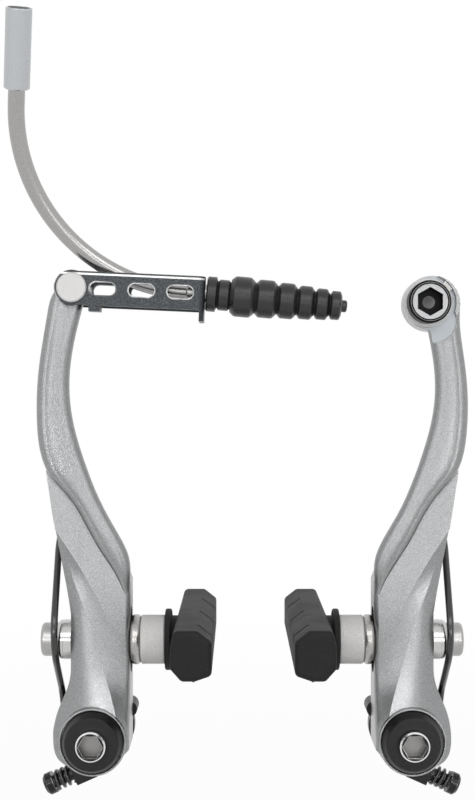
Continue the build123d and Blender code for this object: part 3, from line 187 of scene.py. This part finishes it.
floor_height = cad_box[0].z - FLOOR_DROP
floor_mesh = bpy.data.meshes.new("floor")
corners = [(-1, -1), (1, -1), (1, 1), (-1, 1)]
floor_points = [(x * FLOOR_HALF, y * FLOOR_HALF, floor_height) for x, y in corners]
floor_mesh.from_pydata(floor_points, [], [(0, 1, 2, 3)])
floor = bpy.data.objects.new("floor", floor_mesh)
scene.collection.objects.link(floor)
floor_paper = bpy.data.materials.new("floor_paper")
floor_paper.use_nodes = True
tree = floor_paper.node_tree
tree.nodes.clear()
paper = put(tree, "ShaderNodeBsdfDiffuse", {"Color": PAPER})
place = put(tree, "ShaderNodeTexCoord").outputs["Object"]
away = put(tree, "ShaderNodeVectorMath", {0: place}, operation="LENGTH").outputs["Value"]
glow = put(tree, "ShaderNodeEmission", {"Color": WHITE, "Strength": 1.0})
share = maths(tree, "MULTIPLY", looked_at(tree), ramp(tree, away, *FLOOR_FADE, FLOOR_WHITE_NEAR, 1.0))
mixed = put(tree, "ShaderNodeMixShader", {0: share, 1: paper.outputs[0], 2: glow.outputs[0]})
put(tree, "ShaderNodeOutputMaterial", {"Surface": mixed.outputs[0]})
floor_mesh.materials.append(floor_paper)

# %% [markdown]
# ## Soft boxes
# Two boxes stand high in front, left and right, and a wide one in front above the camera: they light
# what faces forward and up. A long, low strip behind the camera makes the bright faces of the necks.
# Two small boxes with a honeycomb grid, which only lets light out straight ahead, put the hot spot above
# each pivot and keep most of their light off the other arm. A grid narrows the beam and gathers the same
# power in it, so the power of such a lamp is divided by that gain.

# %% Soft boxes
LIT_POINT = Vector((0.0, -0.013, 0.075))
OPEN = math.pi
GRID = math.radians(22.0)
LEFT_FOOT = Vector((-0.050, -0.018, 0.012))
RIGHT_FOOT = Vector((0.050, -0.018, 0.012))


def soft_box(name, place, width, height, radiance, aim=LIT_POINT, beam=OPEN):
    """Area lamp aimed at a point; radiance 1 mirrors as white."""
    half = beam / 2
    gain = 1.0 if beam == OPEN else math.tan(half) / (math.tan(half) - half)
    lamp = bpy.data.lights.new(name, "AREA")
    lamp.shape = "RECTANGLE"
    lamp.size = width
    lamp.size_y = height
    lamp.spread = beam
    lamp.energy = radiance * math.pi * width * height / gain
    holder = bpy.data.objects.new(name, lamp)
    holder.location = place
    holder.rotation_euler = (aim - Vector(place)).to_track_quat("-Z", "Y").to_euler()
    scene.collection.objects.link(holder)


soft_box("left_box", (-0.42, -0.64, 0.52), 0.30, 0.30, 2.6)
soft_box("right_box", (0.42, -0.64, 0.52), 0.30, 0.30, 2.5)
soft_box("top_box", (0.0, -0.82, 0.58), 0.66, 0.30, 2.1)
soft_box("low_strip", (0.0, -0.85, 0.115), 1.40, 0.085, 3.4)
soft_box("left_spot", (-0.19, -0.31, 0.045), 0.07, 0.09, 11.0, LEFT_FOOT, GRID)
soft_box("right_spot", (0.165, -0.325, 0.040), 0.07, 0.09, 11.0, RIGHT_FOOT, GRID)
print("floor at", round(floor_height / MM, 1), "mm")

# %% [markdown]
# ## Shared surface effects
# Almost every finish here has the same few flaws: a fine grain, smudges that change the gloss, thin
# hairlines, and edges that are rubbed bright. Each is a node group, built once, and each material
# sets its own size and strength. All of them read Object coordinates in metres, so a grain of a
# tenth of a millimetre stays that size on every piece.

# %% Node groups
GRAIN_RANGE = (0.3, 0.7)
SMUDGE_RANGE = (0.38, 0.68)
LINE_RANGE = (0.35, 0.65)
BREAK_RANGE = (0.3, 0.6)
WEAR_SAMPLES = 6


def shader_group(name, inputs):
    """New shader group with named inputs and one result, and its two end nodes."""
    group = bpy.data.node_groups.new(name, "ShaderNodeTree")
    for label, value in inputs.items():
        socket = group.interface.new_socket(name=label, in_out="INPUT", socket_type="NodeSocketFloat")
        socket.default_value = value
    group.interface.new_socket(name="Value", in_out="OUTPUT", socket_type="NodeSocketFloat")
    return group, put(group, "NodeGroupInput"), put(group, "NodeGroupOutput")


def object_point(tree):
    """Object coordinates."""
    return put(tree, "ShaderNodeTexCoord").outputs["Object"]


def noise(tree, point, size, detail=2.0, roughness=0.5):
    """Noise whose spots are about size metres across."""
    scale = maths(tree, "DIVIDE", 1.0, size)
    inputs = {"Vector": point, "Scale": scale, "Detail": detail, "Roughness": roughness}
    return put(tree, "ShaderNodeTexNoise", inputs).outputs[0]


grain_group, entry, leave = shader_group("fine_grain", {"Size": 0.0002})
speckle = noise(grain_group, object_point(grain_group), entry.outputs["Size"], 1.0)
grain_group.links.new(ramp(grain_group, speckle, *GRAIN_RANGE), leave.inputs["Value"])

smudge_group, entry, leave = shader_group("smudges", {"Size": 0.012})
patches = noise(smudge_group, object_point(smudge_group), entry.outputs["Size"], 4.0, 0.6)
smudge_group.links.new(ramp(smudge_group, patches, *SMUDGE_RANGE), leave.inputs["Value"])

hairline_group, entry, leave = shader_group(
    "hairlines", {"Size": 0.0003, "Stretch X": 1.0, "Stretch Y": 1.0, "Stretch Z": 1.0})
stretch = put(hairline_group, "ShaderNodeCombineXYZ",
              {axis: entry.outputs[f"Stretch {axis}"] for axis in "XYZ"}).outputs[0]
stretched = put(hairline_group, "ShaderNodeVectorMath", {0: object_point(hairline_group), 1: stretch},
                operation="DIVIDE").outputs[0]
lines = noise(hairline_group, stretched, entry.outputs["Size"], 3.0, 0.7)
hairline_group.links.new(ramp(hairline_group, lines, *LINE_RANGE), leave.inputs["Value"])

wear_group, entry, leave = shader_group("edge_wear", {"Width": 0.0003, "Gain": 4.0, "Breaks": 0.002})
rounded = put(wear_group, "ShaderNodeBevel", {"Radius": entry.outputs["Width"]}, samples=WEAR_SAMPLES)
plain = put(wear_group, "ShaderNodeNewGeometry")
same = put(wear_group, "ShaderNodeVectorMath", {0: rounded.outputs[0], 1: plain.outputs["Normal"]},
           operation="DOT_PRODUCT").outputs["Value"]
turned = maths(wear_group, "SUBTRACT", 1.0, same)
edge = maths(wear_group, "MULTIPLY", turned, entry.outputs["Gain"], clamp=True)
broken = noise(wear_group, object_point(wear_group), entry.outputs["Breaks"], 3.0)
breaks = ramp(wear_group, broken, *BREAK_RANGE)
wear_group.links.new(maths(wear_group, "MULTIPLY", edge, breaks), leave.inputs["Value"])


def effect(tree, group, **values):
    """Place a shared effect in a material, with its own values, and return its result."""
    made = put(tree, "ShaderNodeGroup")
    made.node_tree = group
    for label, value in values.items():
        made.inputs[label.replace("_", " ")].default_value = value
    return made.outputs["Value"]


print("shared effects:", [g.name for g in bpy.data.node_groups])

# %% [markdown]
# ## A base for every finish
# Paint, plated steel, rubber and resin differ in numbers more than in kind. Each starts from a
# Principled shader whose colour varies with the grain, whose gloss varies with smudges, whose edges
# are worn, and whose surface has a slight bump. A real edge is never sharp, so a Bevel node rounds
# the shading by a tenth of a millimetre or so and lets edges catch the light. What is special to one
# finish is added to it after.

# %% Base finish
EDGE_ROUND = 0.00014
EDGE_SAMPLES = 4
SMUDGE_SIZE = 0.012


def start_material(name):
    """Empty material with a Principled shader."""
    material = bpy.data.materials.new(name)
    material.use_nodes = True
    material.node_tree.nodes.clear()
    shader = put(material.node_tree, "ShaderNodeBsdfPrincipled")
    put(material.node_tree, "ShaderNodeOutputMaterial", {"Surface": shader.outputs[0]})
    return material, material.node_tree, shader


def layered_finish(name, dark, light, worn, metallic, gloss, grain, wear, bump):
    """Material with grain between two colours; wear gives the edges' width, gain and breaks."""
    material, tree, shader = start_material(name)
    speckles = effect(tree, grain_group, Size=grain)
    patches = effect(tree, smudge_group, Size=SMUDGE_SIZE)
    rubbed = effect(tree, wear_group, Width=wear[0], Gain=wear[1], Breaks=wear[2])
    body = blend_colour(tree, speckles, (*dark, 1), (*light, 1))
    colour = blend_colour(tree, rubbed, body, (*worn, 1))
    eased = put(tree, "ShaderNodeBevel", {"Radius": EDGE_ROUND}, samples=EDGE_SAMPLES)
    height = put(tree, "ShaderNodeBump", {"Strength": bump, "Distance": grain, "Height": speckles,
                                         "Normal": eased.outputs[0]})
    tree.links.new(colour, shader.inputs["Base Color"])
    tree.links.new(ramp(tree, patches, 0.0, 1.0, gloss[0], gloss[1]), shader.inputs["Roughness"])
    tree.links.new(height.outputs[0], shader.inputs["Normal"])
    shader.inputs["Metallic"].default_value = metallic
    return material, tree, shader


def grey(value, warm=0.0):
    """A grey, slightly warm or cool."""
    return (value * (1 + warm), value, value * (1 - warm))


def over(tree, shader, mask, colour, roughness=None):
    """Lay another colour, and gloss, over what a shader has where the mask is 1."""
    under = shader.inputs["Base Color"].links[0].from_socket
    tree.links.new(blend_colour(tree, mask, under, (*colour, 1)), shader.inputs["Base Color"])
    if roughness is not None:
        under = shader.inputs["Roughness"].links[0].from_socket
        mixed = put(tree, "ShaderNodeMix", {0: mask, 2: under, 3: roughness}, data_type="FLOAT").outputs[0]
        tree.links.new(mixed, shader.inputs["Roughness"])


def from_axis(tree, x, z, both_sides=False):
    """Distance in millimetres from an axis along Y, or a mirrored pair, and depth to the front."""
    parts = put(tree, "ShaderNodeSeparateXYZ", {0: object_point(tree)})
    sideways = parts.outputs["X"]
    if both_sides:
        sideways = maths(tree, "ABSOLUTE", sideways)
    across = maths(tree, "SUBTRACT", sideways, x * MM)
    up = maths(tree, "SUBTRACT", parts.outputs["Z"], z * MM)
    square = maths(tree, "ADD", maths(tree, "MULTIPLY", across, across), maths(tree, "MULTIPLY", up, up))
    radius = maths(tree, "DIVIDE", maths(tree, "SQRT", square), MM)
    depth = maths(tree, "DIVIDE", parts.outputs["Y"], -MM)
    return radius, depth


# %% [markdown]
# ## Silver lacquer on the arms
# The arms are forged, blasted and sprayed with a silver lacquer full of tiny metal flakes. Flakes are
# far smaller than a pixel, so they are a fine grain in the colour and the bump, and the clear top
# layer is a thin coat. The pocket under the cable's washer is milled after spraying: bare, bluish and
# dull. A mask finds it by its depth and its distance from the bolt.

# %% Arm lacquer
BOLT_AXIS = (41.5, 103.2)
POCKET_DEPTH = 16.2
POCKET_MARGIN = 0.03
POCKET_REACH = 10.6

arm_lacquer, tree, shader = layered_finish(
    "arm_lacquer", dark=grey(0.24, -0.012), light=grey(0.37, -0.012), worn=grey(0.80),
    metallic=0.90, gloss=(0.28, 0.29), grain=0.0002, wear=(0.0003, 3.0, 0.004), bump=0.12)
shader.inputs["Coat Weight"].default_value = 0.12
shader.inputs["Coat Roughness"].default_value = 0.22
radius, depth = from_axis(tree, *BOLT_AXIS)
level_here = maths(tree, "COMPARE", depth, POCKET_DEPTH, POCKET_MARGIN)
milled = maths(tree, "MULTIPLY", level_here, maths(tree, "LESS_THAN", radius, POCKET_REACH))
over(tree, shader, milled, grey(0.38, -0.05), 0.42)

# %% [markdown]
# ## Bare and plated steel
# The shoe's nut and washers are turned on a lathe, so their tool marks run round the shoe's axis:
# hairlines that change quickly along X and hardly at all across it. The nut is duller than the
# polished washers beside it. The guide tube is drawn and polished, with a faint grain. The link's pin
# and the cable's washer are plated white. The pivot bolts have a dark plating that is rubbed bright
# along the edges. The rim of the head is painted bright, a painted highlight of the light its chamfer
# catches, and the bottom of the socket is painted lighter, a painted highlight where the front light
# reaches it.

# %% Steel finishes
PIVOT_X = 37.5
# Depth of the socket floor and radius of the head's rim, which carry painted highlights.
PIVOT_SOCKET_FLOOR = 23.4
PIVOT_SOCKET_MARGIN = 0.05
PIVOT_RIM = 3.2
TOOL_MARK = 0.00012
TOOL_MARK_LENGTH = 60.0
TOOL_MARK_BUMP = 0.12
TOOL_MARK_DEPTH = 0.0001


def turned_finish(name, dark, light, gloss):
    """Steel with fine tool marks round the shoe's axis."""
    material, tree, shader = layered_finish(
        name, dark=dark, light=light, worn=grey(0.8),
        metallic=1.0, gloss=gloss, grain=0.0001, wear=(0.0003, 4.0, 0.002), bump=0.04)
    marks = effect(tree, hairline_group, Size=TOOL_MARK, Stretch_Y=TOOL_MARK_LENGTH,
                   Stretch_Z=TOOL_MARK_LENGTH)
    first_bump = shader.inputs["Normal"].links[0].from_socket
    marked = put(tree, "ShaderNodeBump", {"Strength": TOOL_MARK_BUMP, "Distance": TOOL_MARK_DEPTH,
                                         "Height": marks, "Normal": first_bump})
    tree.links.new(marked.outputs[0], shader.inputs["Normal"])
    return material


turned_steel = turned_finish("turned_steel", grey(0.50, 0.01), grey(0.60, 0.01), (0.10, 0.18))
nut_steel = turned_finish("nut_steel", grey(0.36, 0.01), grey(0.44, 0.01), (0.26, 0.36))

guide_steel, _, _ = layered_finish(
    "guide_steel", dark=grey(0.36, 0.015), light=grey(0.41, 0.015), worn=grey(0.80),
    metallic=0.96, gloss=(0.23, 0.27), grain=0.0003, wear=(0.0003, 3.0, 0.002), bump=0.03)

plated_silver, _, _ = layered_finish(
    "plated_silver", dark=grey(0.92, 0.01), light=grey(0.96, 0.01), worn=grey(0.96),
    metallic=0.10, gloss=(0.34, 0.40), grain=0.00015, wear=(0.0002, 4.0, 0.002), bump=0.05)

dark_plate, tree, shader = layered_finish(
    "dark_plate", dark=grey(0.020), light=grey(0.035), worn=grey(0.80),
    metallic=1.0, gloss=(0.28, 0.34), grain=0.0002, wear=(0.00025, 9.0, 0.004), bump=0.05)
radius, depth = from_axis(tree, PIVOT_X, 0.0, both_sides=True)
# Painted highlight: the socket's floor is made lighter where the front light reaches it.
painted_floor_highlight = maths(tree, "COMPARE", depth, PIVOT_SOCKET_FLOOR, PIVOT_SOCKET_MARGIN)
over(tree, shader, painted_floor_highlight, grey(0.24, 0.02), 0.38)
# Painted highlight: a bright ring on the rim of the head, where its chamfer catches the light.
painted_rim_highlight = maths(tree, "GREATER_THAN", radius, PIVOT_RIM)
over(tree, shader, painted_rim_highlight, grey(0.85), 0.25)

# %% [markdown]
# ## Black metal
# The tension screws and the cable's bolt are black oxide steel, almost black, and the screws show
# brighter metal where a key has rubbed the edges. The face of the cable's bolt, inside its raised rim,
# is bare and bright, and the drill point at the bottom of its socket is bare and dull. The springs are
# wire with a glossy black coat. The link is folded sheet with a dark satin plating. A painted highlight
# runs along a line just below its upper edge, where the rounded fold catches the top light. Its edges
# and the rims of its slots are worn bright, and that wear is kept to the upper part of the link, so it
# is partly painted highlight from the light above. Heights on the link are measured from the line
# through its pin, which falls a little towards the boot.

# %% Black metal finishes
LINK_PIN = (-42.7, 106.8)
LINK_FALL = math.tan(math.radians(2.55))
LINK_HALF_HEIGHT = 4.0
# Height where the painted highlight of the upper part begins, and the band of the painted highlight strip.
LINK_LIT_FROM = (-3.3, -2.6)
STRIP_FOOT = (LINK_HALF_HEIGHT - 0.95, LINK_HALF_HEIGHT - 0.75)
STRIP_HEAD = (LINK_HALF_HEIGHT - 0.50, LINK_HALF_HEIGHT - 0.35)
BOLT_FACE_DEPTH = 22.3
BOLT_FACE_MARGIN = 0.04
DRILL_DEPTH = 19.18
DRILL_R = 1.6

screw_black, _, _ = layered_finish(
    "screw_black", dark=grey(0.010), light=grey(0.020), worn=grey(0.45),
    metallic=0.6, gloss=(0.18, 0.34), grain=0.00018, wear=(0.0004, 5.0, 0.0015), bump=0.06)

bolt_black, tree, shader = layered_finish(
    "bolt_black", dark=grey(0.006), light=grey(0.010), worn=grey(0.03),
    metallic=0.3, gloss=(0.34, 0.40), grain=0.00018, wear=(0.00012, 3.0, 0.0015), bump=0.06)
shader.inputs["Specular IOR Level"].default_value = 0.12
radius, depth = from_axis(tree, *BOLT_AXIS)
face = maths(tree, "COMPARE", depth, BOLT_FACE_DEPTH, BOLT_FACE_MARGIN)
over(tree, shader, face, grey(0.62, -0.01), 0.30)
below = maths(tree, "LESS_THAN", depth, DRILL_DEPTH)
drilled = maths(tree, "MULTIPLY", below, maths(tree, "LESS_THAN", radius, DRILL_R))
over(tree, shader, drilled, grey(0.30), 0.40)

coated_wire, _, shader = layered_finish(
    "coated_wire", dark=grey(0.008), light=grey(0.014), worn=grey(0.08),
    metallic=0.0, gloss=(0.16, 0.30), grain=0.0003, wear=(0.0002, 2.0, 0.003), bump=0.03)
shader.inputs["Coat Weight"].default_value = 0.6
shader.inputs["Coat Roughness"].default_value = 0.12

link_plating, tree, shader = layered_finish(
    "link_plating", dark=grey(0.030, -0.08), light=grey(0.095, -0.08), worn=grey(0.06),
    metallic=0.85, gloss=(0.30, 0.36), grain=0.00025, wear=(0.0003, 2.0, 0.0018), bump=0.16)
# Worn edges, kept to the upper part of the link as painted highlight from the top light, and a painted
# highlight strip just below the upper edge.
rubbed = effect(tree, wear_group, Width=0.0006, Gain=12.0, Breaks=0.006)
parts = put(tree, "ShaderNodeSeparateXYZ", {0: object_point(tree)})
along = maths(tree, "SUBTRACT", parts.outputs["X"], LINK_PIN[0] * MM)
up = maths(tree, "SUBTRACT", parts.outputs["Z"], LINK_PIN[1] * MM)
height = maths(tree, "DIVIDE", maths(tree, "ADD", up, maths(tree, "MULTIPLY", along, LINK_FALL)), MM)
lit_upper_part = ramp(tree, height, *LINK_LIT_FROM)
worn_and_lit_rims = maths(tree, "MULTIPLY", rubbed, lit_upper_part)
above = ramp(tree, height, *STRIP_FOOT)
inside = ramp(tree, height, *STRIP_HEAD, 1.0, 0.0)
worn_and_lit_rims = maths(tree, "MULTIPLY", worn_and_lit_rims, inside)
painted_top_highlight = maths(tree, "MULTIPLY", above, inside)
over(tree, shader, maths(tree, "MAXIMUM", worn_and_lit_rims, painted_top_highlight), grey(0.80), 0.28)

# %% [markdown]
# ## Rubber and resin
# The pads and the boot are moulded rubber, almost black: the pads have a dull skin and the boot a
# glossier one. The caps and the spring bases are moulded resin, and their gloss lies between the two.
# The liner in the guide tube is pale plastic.

# %% Rubber and resin finishes
pad_rubber, _, shader = layered_finish(
    "pad_rubber", dark=grey(0.013), light=grey(0.020), worn=grey(0.04),
    metallic=0.0, gloss=(0.58, 0.64), grain=0.00025, wear=(0.0004, 2.0, 0.002), bump=0.16)
shader.inputs["Specular IOR Level"].default_value = 0.22
boot_rubber, _, _ = layered_finish(
    "boot_rubber", dark=grey(0.016), light=grey(0.026), worn=grey(0.05),
    metallic=0.0, gloss=(0.26, 0.32), grain=0.0002, wear=(0.0004, 2.0, 0.002), bump=0.12)
moulded_resin, _, shader = layered_finish(
    "moulded_resin", dark=grey(0.004), light=grey(0.008), worn=grey(0.05),
    metallic=0.0, gloss=(0.34, 0.40), grain=0.00022, wear=(0.0003, 3.0, 0.002), bump=0.10)
shader.inputs["Specular IOR Level"].default_value = 0.34
liner_plastic, _, _ = layered_finish(
    "liner_plastic", dark=grey(0.62), light=grey(0.70), worn=grey(0.75),
    metallic=0.0, gloss=(0.35, 0.45), grain=0.0003, wear=(0.0002, 2.0, 0.002), bump=0.03)

# %% [markdown]
# ## Blasted and satin aluminium
# The thick washers are blasted aluminium, pale, matt and grainy. The sleeve at the top of the guide
# tube is turned aluminium with a satin skin, and the inner cup washers are darker and a little warm.

# %% Aluminium finishes
blasted_alloy, _, _ = layered_finish(
    "blasted_alloy", dark=grey(0.78, 0.015), light=grey(0.94, 0.015), worn=grey(0.95, 0.01),
    metallic=0.05, gloss=(0.48, 0.62), grain=0.00022, wear=(0.0003, 4.0, 0.003), bump=0.25)
satin_alloy, _, _ = layered_finish(
    "satin_alloy", dark=grey(0.54, -0.03), light=grey(0.60, -0.03), worn=grey(0.92),
    metallic=0.72, gloss=(0.24, 0.28), grain=0.0002, wear=(0.0003, 5.0, 0.002), bump=0.06)
cup_alloy, _, _ = layered_finish(
    "cup_alloy", dark=grey(0.34, 0.03), light=grey(0.46, 0.03), worn=grey(0.7, 0.02),
    metallic=0.95, gloss=(0.24, 0.34), grain=0.0002, wear=(0.0003, 5.0, 0.002), bump=0.08)

# %% [markdown]
# ## Dress the solid pieces
# Each solid keeps its shape and only changes its material. Names say what a piece is, so a short
# table from the end of a name to a finish dresses both sides at once.

# %% Dress the solids
FINISHES = {
    "left_arm": arm_lacquer, "right_arm": arm_lacquer,
    "shoe_nut": nut_steel, "shoe_post": turned_steel,
    "outer_cup_washer": turned_steel, "outer_dome_washer": turned_steel,
    "noodle_tube": guide_steel, "noodle_nose": guide_steel,
    "pivot_sleeve": guide_steel, "stop_pin": guide_steel, "spring_hook": guide_steel,
    "link_pin": plated_silver, "cable_washer": plated_silver,
    "pivot_bolt": dark_plate,
    "tension_screw": screw_black, "cable_bolt": bolt_black,
    "return_spring": coated_wire, "tension_spring": coated_wire,
    "cable_link": link_plating,
    "pivot_cap": moulded_resin, "spring_base": moulded_resin,
    "brake_pad": pad_rubber, "noodle_boot": boot_rubber,
    "thick_washer": blasted_alloy, "inner_cup_washer": cup_alloy,
    "noodle_ferrule": satin_alloy, "noodle_liner": liner_plastic,
}
for name, piece in nodes.items():
    ending = next(end for end in FINISHES if name.endswith(end))
    piece.data.materials.clear()
    piece.data.materials.append(FINISHES[ending])
print("dressed:", len(nodes))

# %% [markdown]
# ## Pieces that Geometry Nodes make
# The return wires, the little coils on the tension screws and the threads are all a round or ridged
# section carried along a path. They could be bevelled curves, but a node tree keeps the sizes as named
# inputs and makes the left and the right piece from one recipe. A tree works on a starting mesh; its
# result is kept as a plain mesh at the origin.

# %% Geometry Nodes helpers
FLOAT = "NodeSocketFloat"
WHOLE = "NodeSocketInt"
VECTOR = "NodeSocketVector"
MATERIAL = "NodeSocketMaterial"
SIDES = {"left": -1, "right": 1}


def geometry_tree(name, sizes):
    """New Geometry Nodes tree with named inputs, and its two end nodes."""
    made = bpy.data.node_groups.new(name, "GeometryNodeTree")
    made.interface.new_socket(name="Geometry", in_out="INPUT", socket_type="NodeSocketGeometry")
    for label, kind in sizes.items():
        made.interface.new_socket(name=label, in_out="INPUT", socket_type=kind)
    made.interface.new_socket(name="Geometry", in_out="OUTPUT", socket_type="NodeSocketGeometry")
    return made, put(made, "NodeGroupInput"), put(made, "NodeGroupOutput")


def sweep(made, path, section, finish, leave):
    """Carry a section along a path, and end the tree."""
    tube = put(made, "GeometryNodeCurveToMesh", {0: path, 1: section, "Fill Caps": True})
    smooth = put(made, "GeometryNodeSetShadeSmooth", {0: tube.outputs[0]})
    whole = put(made, "GeometryNodeRealizeInstances", {0: smooth.outputs[0]})
    coloured = put(made, "GeometryNodeSetMaterial", {"Geometry": whole.outputs[0], "Material": finish})
    made.links.new(coloured.outputs[0], leave.inputs[0])


def grow(name, start, made, sizes):
    """Run a tree on a starting mesh with its named sizes, and keep what it makes as a plain mesh."""
    holder = bpy.data.objects.new(name + "_start", start)
    scene.collection.objects.link(holder)
    modifier = holder.modifiers.new("build", "NODES")
    modifier.node_group = made
    for item in made.interface.items_tree:
        if item.in_out == "INPUT" and item.name in sizes:
            modifier[item.identifier] = sizes[item.name]
    evaluated = holder.evaluated_get(bpy.context.evaluated_depsgraph_get())
    mesh = bpy.data.meshes.new_from_object(evaluated)
    bpy.data.objects.remove(holder)
    piece = bpy.data.objects.new(name, mesh)
    scene.collection.objects.link(piece)
    print(name, "faces:", len(mesh.polygons))
    return piece


# %% [markdown]
# ## Return wires
# A spring wire pushes each arm off the rim. It is caught in the spring base, goes round the pivot,
# comes forward past the shoe's nut and ends behind the arm at a hook pin. Such a wire is bent over
# pins, so its route is a line of corners, each with the radius of its pin, and the tree rounds them.

# %% Return wires
WIRE_R = 0.85
WRAP_CORNER_R = 8.01
WRAP_FRONT = 5.0
WRAP_ANGLES = range(112, -159, -45)
WRAP_BEND = 7.25
TAIL_BEND = 2.0
TAIL_REACH = (-3.0, -1.2)
LEG = [
    (-8.233, 5.0, 2.5), (-8.967, 5.0, 9.0), (-9.333, 20.5, 22.7), (-9.7, 5.4, 45.5), (-7.15, 5.4, 56.0),
    (-7.15, 5.4, 60.0),
]
LEG_BENDS = [7.0, 5.0, 9.0, 9.0, 6.0, 0.0]
WIRE_STEP = 0.5
WIRE_SIDES = 16
BEND_STEPS = 12

wire_tree, entry, leave = geometry_tree(
    "bent_wire", {"Wire Radius": FLOAT, "Step": FLOAT, "Finish": MATERIAL})
corners = put(wire_tree, "GeometryNodeMeshToCurve", {0: entry.outputs["Geometry"]})
pin_radius = put(wire_tree, "GeometryNodeInputNamedAttribute", {"Name": "bend"}, data_type="FLOAT")
rounded = put(wire_tree, "GeometryNodeFilletCurve", {
    "Curve": corners.outputs[0], "Radius": pin_radius.outputs[0], "Count": BEND_STEPS,
}, mode="POLY")
even = put(wire_tree, "GeometryNodeResampleCurve",
           {"Curve": rounded.outputs[0], "Length": entry.outputs["Step"]}, mode="LENGTH")
ring = put(wire_tree, "GeometryNodeCurvePrimitiveCircle",
           {"Resolution": WIRE_SIDES, "Radius": entry.outputs["Wire Radius"]}, mode="RADIUS")
sweep(wire_tree, even.outputs[0], ring.outputs[0], entry.outputs["Finish"], leave)

wrap = [(WRAP_CORNER_R * math.cos(math.radians(a)), WRAP_FRONT, WRAP_CORNER_R * math.sin(math.radians(a)))
        for a in WRAP_ANGLES]
tail = (wrap[0][0] + TAIL_REACH[0], WRAP_FRONT, wrap[0][2] + TAIL_REACH[1])
route = [tail] + wrap + LEG
bends = [0.0, TAIL_BEND] + [WRAP_BEND] * (len(wrap) - 1) + LEG_BENDS
for side, sign in SIDES.items():
    line = bpy.data.meshes.new(f"{side}_wire_route")
    placed = [(sign * (PIVOT_X - x) * MM, -front * MM, z * MM) for x, front, z in route]
    line.from_pydata(placed, [(i, i + 1) for i in range(len(placed) - 1)], [])
    line.attributes.new("bend", "FLOAT", "POINT").data.foreach_set("value", [b * MM for b in bends])
    sizes = {"Wire Radius": WIRE_R * MM, "Step": WIRE_STEP * MM, "Finish": coated_wire}
    wire = grow(f"{side}_return_wire", line, wire_tree, sizes)
    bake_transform(wire)
    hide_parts(f"{side}_return_spring")

# %% [markdown]
# ## Coils and threads
# A tension screw is kept from turning by a short coil under its head. A coil and a thread are both a
# helix: a round wire for the coil, and a low ridge sunk half into the shank for a thread. One tree
# makes all of them. A coil is pressed between the spring base and the screw's head.

# %% Coils and threads
HELIX_STEPS = 28
SCREW_HEAD = (10.95, 3.6, -13.7)
SCREW_SLOPE = 24.0
COIL = {"radius": 2.17, "wire": 0.42, "turns": 3.0, "start": 0.52, "length": 4.16}
SCREW_THREAD = {"radius": 1.58, "wire": 0.12, "turns": 10.0, "start": 0.6, "length": 7.8}
BOLT_THREAD = {"radius": 2.97, "wire": 0.12, "turns": 7.0, "start": 0.3, "length": 7.0}
COIL_SIDES = 12
RIDGE_SIDES = 6

helix_tree, entry, leave = geometry_tree("helix", {
    "Coil Radius": FLOAT, "Turns": FLOAT, "Length": FLOAT, "Wire Radius": FLOAT, "Sides": WHOLE,
    "Place": VECTOR, "Turn": VECTOR, "Finish": MATERIAL,
})
spiral = put(helix_tree, "GeometryNodeCurveSpiral", {
    "Resolution": HELIX_STEPS, "Rotations": entry.outputs["Turns"], "Height": entry.outputs["Length"],
    "Start Radius": entry.outputs["Coil Radius"], "End Radius": entry.outputs["Coil Radius"],
})
placed = put(helix_tree, "GeometryNodeTransform", {
    "Geometry": spiral.outputs[0], "Translation": entry.outputs["Place"], "Rotation": entry.outputs["Turn"],
})
ring = put(helix_tree, "GeometryNodeCurvePrimitiveCircle",
           {"Resolution": entry.outputs["Sides"], "Radius": entry.outputs["Wire Radius"]}, mode="RADIUS")
sweep(helix_tree, placed.outputs[0], ring.outputs[0], entry.outputs["Finish"], leave)


def helix(name, shape, sides, foot, axis, turn, finish):
    """A helix whose path starts past foot, along axis."""
    place = Vector(foot) * MM + Vector(axis) * shape["start"] * MM
    sizes = {
        "Coil Radius": shape["radius"] * MM, "Turns": shape["turns"], "Length": shape["length"] * MM,
        "Wire Radius": shape["wire"] * MM, "Sides": sides, "Place": place, "Turn": turn, "Finish": finish,
    }
    return grow(name, bpy.data.meshes.new(name + "_start"), helix_tree, sizes)


lean = math.radians(SCREW_SLOPE)
for side, sign in SIDES.items():
    head = (sign * (PIVOT_X + SCREW_HEAD[0]), -SCREW_HEAD[1], SCREW_HEAD[2])
    inward = Vector((-sign * math.cos(lean), 0.0, math.sin(lean)))
    turn = Vector((0.0, -sign * (math.pi / 2 - lean), 0.0))
    coil = helix(f"{side}_tension_coil", COIL, COIL_SIDES, head, inward, turn, coated_wire)
    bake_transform(coil)
    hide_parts(f"{side}_tension_spring")
    ridge = helix(f"{side}_screw_thread", SCREW_THREAD, RIDGE_SIDES, head, inward, turn, screw_black)
    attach(ridge, f"{side}_tension_screw")
    tip = (sign * PIVOT_X, 0.0, 0.0)
    forward = Vector((0.0, -1.0, 0.0))
    upright = Vector((math.pi / 2, 0, 0))
    ridge = helix(f"{side}_bolt_thread", BOLT_THREAD, RIDGE_SIDES, tip, forward, upright, dark_plate)
    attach(ridge, "pivot_mounts")
